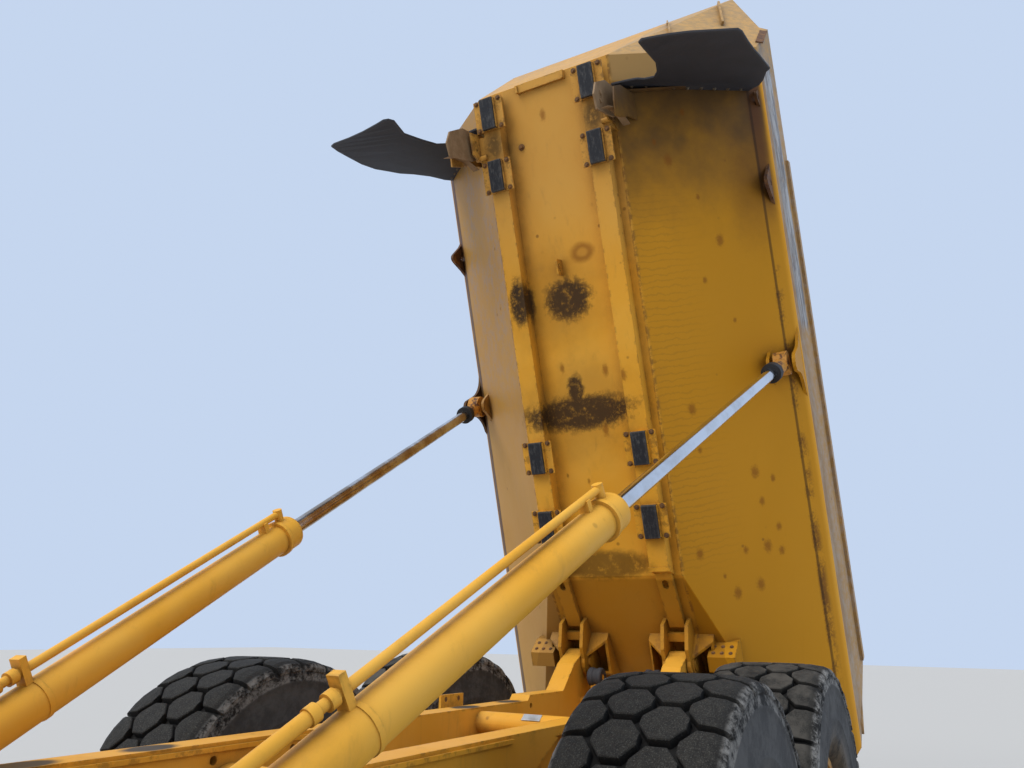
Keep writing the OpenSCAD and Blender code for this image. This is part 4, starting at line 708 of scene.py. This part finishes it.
lifting = bmesh.new()
lift_outline = [(3.335, 0.812), (3.291, 0.764), (3.25, 0.697), (3.218, 0.646), (3.203, 0.631),
                (3.184, 0.626), (3.166, 0.633), (3.15, 0.652), (3.125, 0.692), (3.09, 0.75),
                (3.042, 0.812)]
circle = [(cos(2 * pi * k / 16), sin(2 * pi * k / 16)) for k in range(16)]
hole = [(3.19 + 0.02 * x, 0.778 + 0.02 * z) for x, z in circle]
for side in (-1, 1):
    edges = []
    for outline in (lift_outline, hole):
        edges += loop(lifting, [(x, side * 1.287, z) for x, z in outline])[1]
    filled = bmesh.ops.triangle_fill(lifting, use_beauty=True, edges=edges)["geom"]
    solid = bmesh.ops.extrude_face_region(lifting, geom=only("Face", filled))["geom"]
    bmesh.ops.translate(lifting, verts=only("Vert", solid), vec=(0, side * 0.022, 0))
bar(lifting, (4.244, 1.345, 0.945), (4.44, 1.345, 1.262), corner_face, 0.055, 0.01)
outward(lifting)
lifting.transform(on_body)
rusty_plate = coat("rusty_plate", (0.085, 0.036, 0.018), (0.23, 0.11, 0.035), 0.75, 0.0, 22.0, 0.35)
piece("lifting_plates", lifting, rusty_plate, "dump_body")

heads = bmesh.new()
for side in (-1, 1):
    for v in (0.605, 0.662, 0.72):
        for part in (0.28, 0.7):
            at = Vector((0.055 + 0.06 * part, side * v, 0.05 + 0.125 * part))
            bolt(heads, on_body @ turned(at, (0.901, 0, -0.433)), 0.0095, 0.006)
piece("block_bolts", heads, rusty_bolt, "dump_body")

# Fittings of the rear frame: moulded rubber sleeves on the round buffers at the hinge, a small
# bare metal plate on the cross tube, and bolts with flush shanks in the tab's holes.
sleeves = bmesh.new()
sleeve_section = [(0.02, 0.157), (0.055, 0.157), (0.062, 0.164), (0.062, 0.19), (0.056, 0.198),
                  (0.056, 0.215), (0.062, 0.223), (0.062, 0.252), (0.055, 0.259), (0.02, 0.259)]
for side in (-1, 1):
    ring, run = loop(sleeves, [(0, side * y, r) for r, y in sleeve_section])
    bmesh.ops.spin(sleeves, geom=ring + run, cent=(0, 0, 0), axis=(0, 1, 0), steps=32,
                   angle=2 * pi, use_merge=True)
outward(sleeves)
bmesh.ops.translate(sleeves, verts=sleeves.verts, vec=(-3.9105, 0, 1.452))
piece("buffer_sleeves", sleeves, flap_rubber, "rear_frame")
bare_metal = coat("bare_metal", (0.52, 0.53, 0.54), (0.34, 0.33, 0.31), 0.42, 0.7, 14.0)
bare = bmesh.new()
bar(bare, (-2.516, -0.035, 1.3045), (-2.516, 0.075, 1.3045), (0.62, 0, 0.78), 0.044, 0.005)
piece("bare_plate", bare, bare_metal, "rear_frame")
tab_bolts = bmesh.new()
for x in (-2.6005, -2.4705):
    bolt(tab_bolts, turned((x, -0.517, 1.375), (0, -1, 0)), 0.0165, 0.012)
    cone(tab_bolts, 20, 0.0135, 0.0135, 0.013, turned((x, -0.51, 1.375), (0, 1, 0)))
piece("tab_bolts", tab_bolts, rusty_bolt, "rear_frame")


# Cab, hood and fenders: pressed and welded sheet in the machine's enamel, cleaner than the body,
# with dirt along the lower edges. Guard, grille and steps are dark, the cab's trim is moulded.
cab_enamel = enamel("cab_enamel", (0.82, 0.4, 0.035), (0.84, 0.44, 0.06), grime_and_shade=0.35, rust=0.35)
dress(cab_enamel, "cab_shell", "cab_door", "hood", "fenders", "side_tank")
charcoal = coat("charcoal_enamel", (0.028, 0.028, 0.031), (0.06, 0.056, 0.05), 0.5)
dress(charcoal, "front_guard", "grille", "steps")
cab_plastic = coat("cab_plastic", (0.045, 0.045, 0.048), (0.065, 0.064, 0.062), 0.7)
dress(cab_plastic, "console")
dress(iron, "engine_block")

# Windows: sheets of green tinted safety glass, set in the cab's openings and its door, with a
# pressed steel wiper parked low on the windscreen.
glass, shader, place = finish("tinted_glass", 0.05)
streaks = rise(noise(place, 5.0, 5.0, 0.6, (1.0, 1.0, 0.3)), 0.5, 0.8)
feed(shader, "Base Color", mix(streaks, (0.5, 0.62, 0.6), (0.55, 0.58, 0.54)))
feed(shader, "Roughness", plus(0.04, times(streaks, 0.12)))
shader.inputs["Transmission Weight"].default_value = 0.85
dress(glass, "cab_glass", "door_glass")
screen_face = (1.0, 0, 0.19)
wiper = bmesh.new()
bar(wiper, (3.566, 0.1, 2.235), (3.546, -0.18, 2.34), screen_face, 0.016, 0.012)
bar(wiper, (3.556, -0.42, 2.3), (3.538, 0.12, 2.395), screen_face, 0.012, 0.018)
bar(wiper, (3.572, 0.085, 2.215), (3.572, 0.135, 2.215), screen_face, 0.045, 0.03)
piece("windscreen_wiper", wiper, charcoal, "tractor")


# Lamps: moulded black housings with clear ribbed lenses in front. The two tail lamps each have a
# round red and a round amber lens, pressed into the housing.
def facing_ahead(place):
    """How far the surface looks forward, from -1 to 1."""
    return xyz(node(place, "TexCoord").outputs["Normal"])["X"]


def waves(place, scale, direction, distortion=0.0):
    inputs = {"Vector": place, "Scale": scale, "Distortion": distortion}
    return node(place, "TexWave", inputs, bands_direction=direction).outputs["Fac"]


lamp_finish, shader, place = finish("lamp_finish", 0.25)
ahead = rise(facing_ahead(place), 0.8, 0.9)
lens = mix(waves(place, 9.0, "Y"), (0.58, 0.6, 0.62), (0.82, 0.84, 0.86))
feed(shader, "Base Color", mix(ahead, (0.03, 0.03, 0.032), lens))
feed(shader, "Roughness", minus(0.45, times(ahead, 0.38)))
dress(lamp_finish, "lamps")
for colour, tone, y in (("red", (0.45, 0.012, 0.01), 0.678), ("amber", (0.7, 0.2, 0.01), 0.602)):
    lens_finish, shader, place = finish(f"{colour}_lens", 0.12)
    feed(shader, "Base Color", mix(waves(place, 22.0, "Z"), tone, tuple(c * 0.6 for c in tone)))
    lenses = bmesh.new()
    for side in (-1, 1):
        seat = turned((-4.1405, side * y, 1.25), (-1, 0, 0))
        disc = cone(lenses, 32, 0.032, 0.032, 0.016, seat)
        front = {v for v in disc if (seat.inverted() @ v.co).z > 0}
        chamfer(lenses, {e for v in front for e in v.link_edges if front.issuperset(e.verts)}, 0.007, 3)
    piece(f"tail_lenses_{colour}", lenses, lens_finish, "rear_frame")

# Mirrors: moulded black shells on steel arms that are bolted to the cab, with silvered glass on
# the side that faces back.
mirror_finish, shader, place = finish("mirror_finish", 0.5)
silver = rise(facing_ahead(place), -0.9, -0.97)
feed(shader, "Base Color", mix(silver, (0.03, 0.03, 0.032), (0.8, 0.82, 0.84)))
feed(shader, "Metallic", silver)
feed(shader, "Roughness", minus(0.5, times(silver, 0.46)))
dress(mirror_finish, "mirrors")

# Exhaust: a silencer and a stack of rolled and welded sheet steel beside the hood, unpainted and
# browned by the heat towards the outlet.
stack, shader, place = finish("exhaust_steel", 0.6, 0.6)
cloud = noise(place, 9.0, 6.0, 0.7)
heat = rise(plus(xyz(place)["Z"], times(cloud, 0.5)), 2.4, 3.2)
tone = mix(heat, (0.055, 0.048, 0.044), (0.22, 0.11, 0.055))
feed(shader, "Base Color", mix(rise(cloud, 0.56, 0.7), tone, (0.26, 0.12, 0.05)))
bump(shader, noise(place, 60.0, 5.0), 0.2)
dress(stack, "exhaust")


# Driver's seat: foam cushions under woven cloth, each crowned and drawn in between its corners,
# with sewn channels across and a welt round the middle, on a bellows-covered base.
def swell(distance, width):
    """1 at no distance, falling away evenly on both sides."""
    return exp(-(distance / width) ** 2)


def cushion(mesh, size, place, channels=(), bolster=0.0):
    """A stuffed form of the given length, width and thickness. channels are the sewn lines across."""
    bmesh.ops.create_cube(mesh, size=2)
    bmesh.ops.subdivide_edges(mesh, edges=mesh.edges[:], cuts=23, use_grid_fill=True)
    for v in mesh.verts:
        a, b, c = v.co
        full = (abs(a) ** 7 + abs(b) ** 7 + abs(c) ** 2.6) ** (1 / 7)
        a, b = a / full, b / full
        c = c * (1 - 0.22 * max(abs(a), abs(b)) ** 5)
        for line in channels:
            c -= 0.16 * swell(a - line, 0.035) if c > 0 else 0.0
        c += bolster * abs(b) ** 6 if c > 0 else 0.0
        welt = 0.012 * swell(c, 0.1)
        a, b = [x * (1 - 0.045 * (1 - y * y)) + copysign(welt * abs(x) ** 12, x)
                for x, y in ((a, b), (b, a))]
        v.co = place @ Vector((a * size[0] / 2, b * size[1] / 2, c * size[2] / 2))
    outward(mesh)
    for f in mesh.faces:
        f.smooth = True


cloth, shader, place = finish("seat_cloth", 0.9)
weave = waves(place, 90.0, "DIAGONAL", 1.0)
tone = mix(weave, (0.035, 0.037, 0.042), (0.085, 0.088, 0.096))
feed(shader, "Base Color", mix(rise(noise(place, 7.0, 5.0), 0.5, 0.75), tone, (0.12, 0.105, 0.085)))
bump(shader, weave, 0.3)
back_lean = Matrix.Translation((2.28, 0, 2.11)) @ Matrix.Rotation(radians(-10), 4, "Y")
standing = Matrix(((0, 0, 1, 0), (0, 1, 0, 0), (-1, 0, 0, 0), (0, 0, 0, 1)))
seat_place = Matrix.Translation((2.535, 0, 2.098))
back_place = back_lean @ Matrix.Translation((0.062, 0, 0.325)) @ standing
headrest_place = back_lean @ Matrix.Translation((0.05, 0, 0.725)) @ standing
for name, size, seat, channels, bolster in (
        ("seat_cushion", (0.5, 0.49, 0.13), seat_place, (-0.45, 0.0, 0.45), 0.3),
        ("seat_back", (0.62, 0.45, 0.12), back_place, (-0.6, -0.25, 0.1, 0.45), 0.35),
        ("seat_headrest", (0.16, 0.235, 0.08), headrest_place, (), 0.0)):
    pad = bmesh.new()
    cushion(pad, size, seat, channels, bolster)
    made = piece(name, pad, cloth, "tractor")
    if name == "seat_cushion":
        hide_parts("seat")
armrests = bmesh.new()
for side in (-1, 1):
    bar(armrests, (2.365, side * 0.3, 2.238), (2.698, side * 0.3, 2.238), (0, 0, 1), 0.058, 0.038)
    bar(armrests, (2.39, side * 0.292, 2.13), (2.39, side * 0.292, 2.24), (1, 0, 0), 0.04, 0.03)
    bar(armrests, (2.405, side * 0.24, 2.12), (2.405, side * 0.306, 2.12), (0, 0, 1), 0.04, 0.024)
piece("seat_armrests", armrests, cab_plastic, "tractor")
base = bmesh.new()
folds = [(0.15 if k % 2 else 0.168, 1.82 + 0.0235 * k) for k in range(8)]
levels = [(0.165, 1.762), (0.17, 1.775), (0.17, 1.8)] + folds + [(0.172, 2.000), (0.172, 2.034)]
corners = ((-0.9, -1), (0.9, -1), (1, -0.9), (1, 0.9), (0.9, 1), (-0.9, 1), (-1, 0.9), (-1, -0.9))
rings = [[base.verts.new((2.5 + x * half, y * half, z)) for x, y in corners] for half, z in levels]
for below, above in zip(rings, rings[1:]):
    for k in range(8):
        base.faces.new((below[k - 1], below[k], above[k], above[k - 1]))
base.faces.new(rings[0])
base.faces.new(rings[-1])
outward(base)
piece("seat_base", base, cab_plastic, "tractor")


# Wheels: wide earthmover tyres on three-piece rims. The carcass is one ring of rubber; its tread
# is four rows of chamfered blocks, staggered, and the outer rows run down over the shoulders.
tyre_radius = 0.8
crown_side = 0.27
tread_blocks = 26
pitch = 2 * pi / tread_blocks


def crown(y):
    """Radius of the blocks' faces across the tread, and past the shoulder how far out they lie."""
    y = abs(y)
    if y <= 0.2:
        return tyre_radius - 0.003 * (y / 0.2) ** 2, y
    if y <= crown_side:
        return 0.797 - 0.011 * ((y - 0.2) / 0.07) ** 1.5, y
    down = y - crown_side
    radius = 0.786 - min(down, 0.02) * 0.5 - max(0.0, down - 0.012) * 0.95
    return radius, crown_side + min(down, 0.03) * 0.93 + max(0.0, down - 0.03) * 0.15


def tread_block(rows):
    """One block of the tread: a grid drawn in to its outline, raised from the carcass, its edges
    chamfered, and wrapped round the wheel. rows are [across, half length] from one side."""
    mesh = bmesh.new()
    bmesh.ops.create_grid(mesh, x_segments=3, y_segments=len(rows) - 1, size=0.5)
    raised = bmesh.ops.extrude_face_region(mesh, geom=mesh.faces[:])["geom"]
    tops = set(only("Vert", raised))
    rim = [e for e in mesh.edges
           if tops.issuperset(e.verts) and sum(tops.issuperset(f.verts) for f in e.link_faces) == 1]
    for v in mesh.verts:
        across, half = rows[round((v.co.y + 0.5) * (len(rows) - 1))]
        angle = v.co.x * 2 * half * (0.97 if v in tops else 1.03) / tyre_radius
        radius, out = crown(across)
        if v not in tops:
            beyond = abs(across) > crown_side
            radius, out = (radius - 0.02, out - 0.028) if beyond else (0.752, out)
        v.co = Vector((radius * sin(angle), copysign(out, across), radius * cos(angle)))
    chamfer(mesh, rim, 0.004)
    outward(mesh)
    return mesh


def gather(target, source, matrix, flip=False):
    """Adds a copy of one bmesh to another."""
    data = bpy.data.meshes.new("part")
    source.to_mesh(data)
    data.transform(matrix)
    if flip:
        data.flip_normals()
    target.from_mesh(data)
    bpy.data.meshes.remove(data)


tyre_rubber, shader, place = finish("tyre_rubber", 0.85, shine=0.3)
reach, aside, dusty = [node(place, "Attribute", attribute_name=name).outputs["Fac"]
                       for name in ("reach", "aside", "dusty")]
fine = noise(place, 34.0, 6.0, 0.75)
broad = noise(place, 6.0, 6.0, 0.7)
face = mix(rise(fine, 0.35, 0.7), (0.012, 0.012, 0.012), (0.026, 0.026, 0.024))
face = mix(rise(noise(place, 210.0, 3.0, 0.7), 0.5, 0.72), face, (0.075, 0.075, 0.072))
face = mix(times(dusty, rise(broad, 0.35, 0.62)), face, (0.075, 0.072, 0.066))
tone = mix(rise(reach, 0.77, 0.792), (0.009, 0.009, 0.009), face)
scrapes = rise(plus(times(broad, 0.6), times(fine, 0.6)), 0.52, 0.7)
scraped = times(rise(aside, 0.268, 0.29), scrapes, plus(0.75, times(dusty, 0.25)))
tone = mix(scraped, tone, (0.27, 0.275, 0.28))
smooth_wall = times(rise(aside, 0.27, 0.29), rise(reach, 0.7, 0.69), 0.88)
tone = mix(smooth_wall, tone, mix(broad, (0.035, 0.038, 0.044), (0.085, 0.09, 0.098)))
mud = times(rise(reach, 0.52, 0.36), rise(broad, 0.35, 0.6), 0.5)
tone = mix(mud, tone, (0.2, 0.145, 0.09))
# Painted shade, near black, in the grooves and the hollows between the blocks
feed(shader, "Base Color", mix(times(hollows(place, 0.05), 0.55), tone, (0.008, 0.008, 0.008)))
bump(shader, plus(fine, times(broad, 0.6)), 0.45, 0.004)

# The carcass's section from the bead over the sidewall to the middle of the crown, [radius, side]
section = [(0.318, 0.21), (0.33, 0.212), (0.344, 0.22), (0.352, 0.236), (0.372, 0.256),
           (0.4, 0.271), (0.424, 0.279), (0.43, 0.284), (0.446, 0.287), (0.452, 0.285),
           (0.48, 0.291), (0.512, 0.2945), (0.517, 0.2975), (0.524, 0.2978), (0.529, 0.2955),
           (0.58, 0.298), (0.64, 0.2975), (0.68, 0.2945), (0.687, 0.2985), (0.698, 0.299),
           (0.704, 0.2955), (0.722, 0.294), (0.74, 0.29), (0.752, 0.276), (0.759, 0.245),
           (0.761, 0.18), (0.762, 0.09), (0.762, 0.0)]
tyre = bmesh.new()
ring, run = loop(tyre, [(0, y, r) for r, y in section] + [(0, -y, r) for r, y in reversed(section[:-1])])
bmesh.ops.spin(tyre, geom=ring + run, cent=(0, 0, 0), axis=(0, 1, 0), steps=88, angle=2 * pi,
               use_merge=True)
outward(tyre)
for f in tyre.faces:
    f.smooth = True
middle = tread_block([(-0.006, 0.026), (0.04, 0.084), (0.112, 0.084), (0.158, 0.026)])
shoulder = tread_block([(0.146, 0.026), (0.192, 0.083), (0.25, 0.085), (0.284, 0.085), (0.3, 0.084),
                        (0.318, 0.081)])
mirror = Matrix.Scale(-1, 4, (0, 1, 0))
for k in range(tread_blocks):
    for block, left, right in ((middle, 0.44, 0.88), (shoulder, 0.0, 1.32)):
        gather(tyre, block, Matrix.Rotation(pitch * (k + left), 4, "Y"))
        gather(tyre, block, mirror @ Matrix.Rotation(pitch * (k + right), 4, "Y"), True)
middle.free()
shoulder.free()
reach_layer = tyre.verts.layers.float.new("reach")
aside_layer = tyre.verts.layers.float.new("aside")
for v in tyre.verts:
    v[reach_layer] = (v.co.x ** 2 + v.co.z ** 2) ** 0.5
    v[aside_layer] = abs(v.co.y)

wheels = [(f"{end}_{side}", sign, x) for end, x in wheel_x.items()
          for side, sign in (("left", 1), ("right", -1))]
for (name, sign, x), turn in zip(wheels, (0, 3, 0, 7, 5, 2)):
    skin = bmesh.new()
    hub = Matrix.Translation((x, sign * 1.13, wheel_height))
    gather(skin, tyre, hub @ Matrix.Rotation(radians(turn), 4, "Y"))
    dusty_layer = skin.verts.layers.float.new("dusty")
    for v in skin.verts:
        v[dusty_layer] = float(name.startswith("rear"))
    made = piece(f"tyre_skin_{name}", skin, tyre_rubber, f"wheel_{name}")
    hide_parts(f"tyre_{name}")
tyre.free()

# Rims: rolled and pressed steel in dusty enamel, with wheel nuts round the disc and small bolts
# on the hub's cover.
rim_enamel = enamel("rim_enamel", (0.6, 0.31, 0.07), (0.42, 0.29, 0.15), grime_and_shade=1.0, rust=0.8)
for name, sign, x in wheels:
    dress(rim_enamel, f"rim_{name}")
    nuts = bmesh.new()
    bolt_ring(nuts, (x, sign * 1.192, wheel_height), sign, 0.247, 16, 0.016, 0.022)
    bolt_ring(nuts, (x, sign * 1.308, wheel_height), sign, 0.12, 12, 0.011, 0.01, first=0.5)
    piece(f"wheel_nuts_{name}", nuts, zinc, f"wheel_{name}")
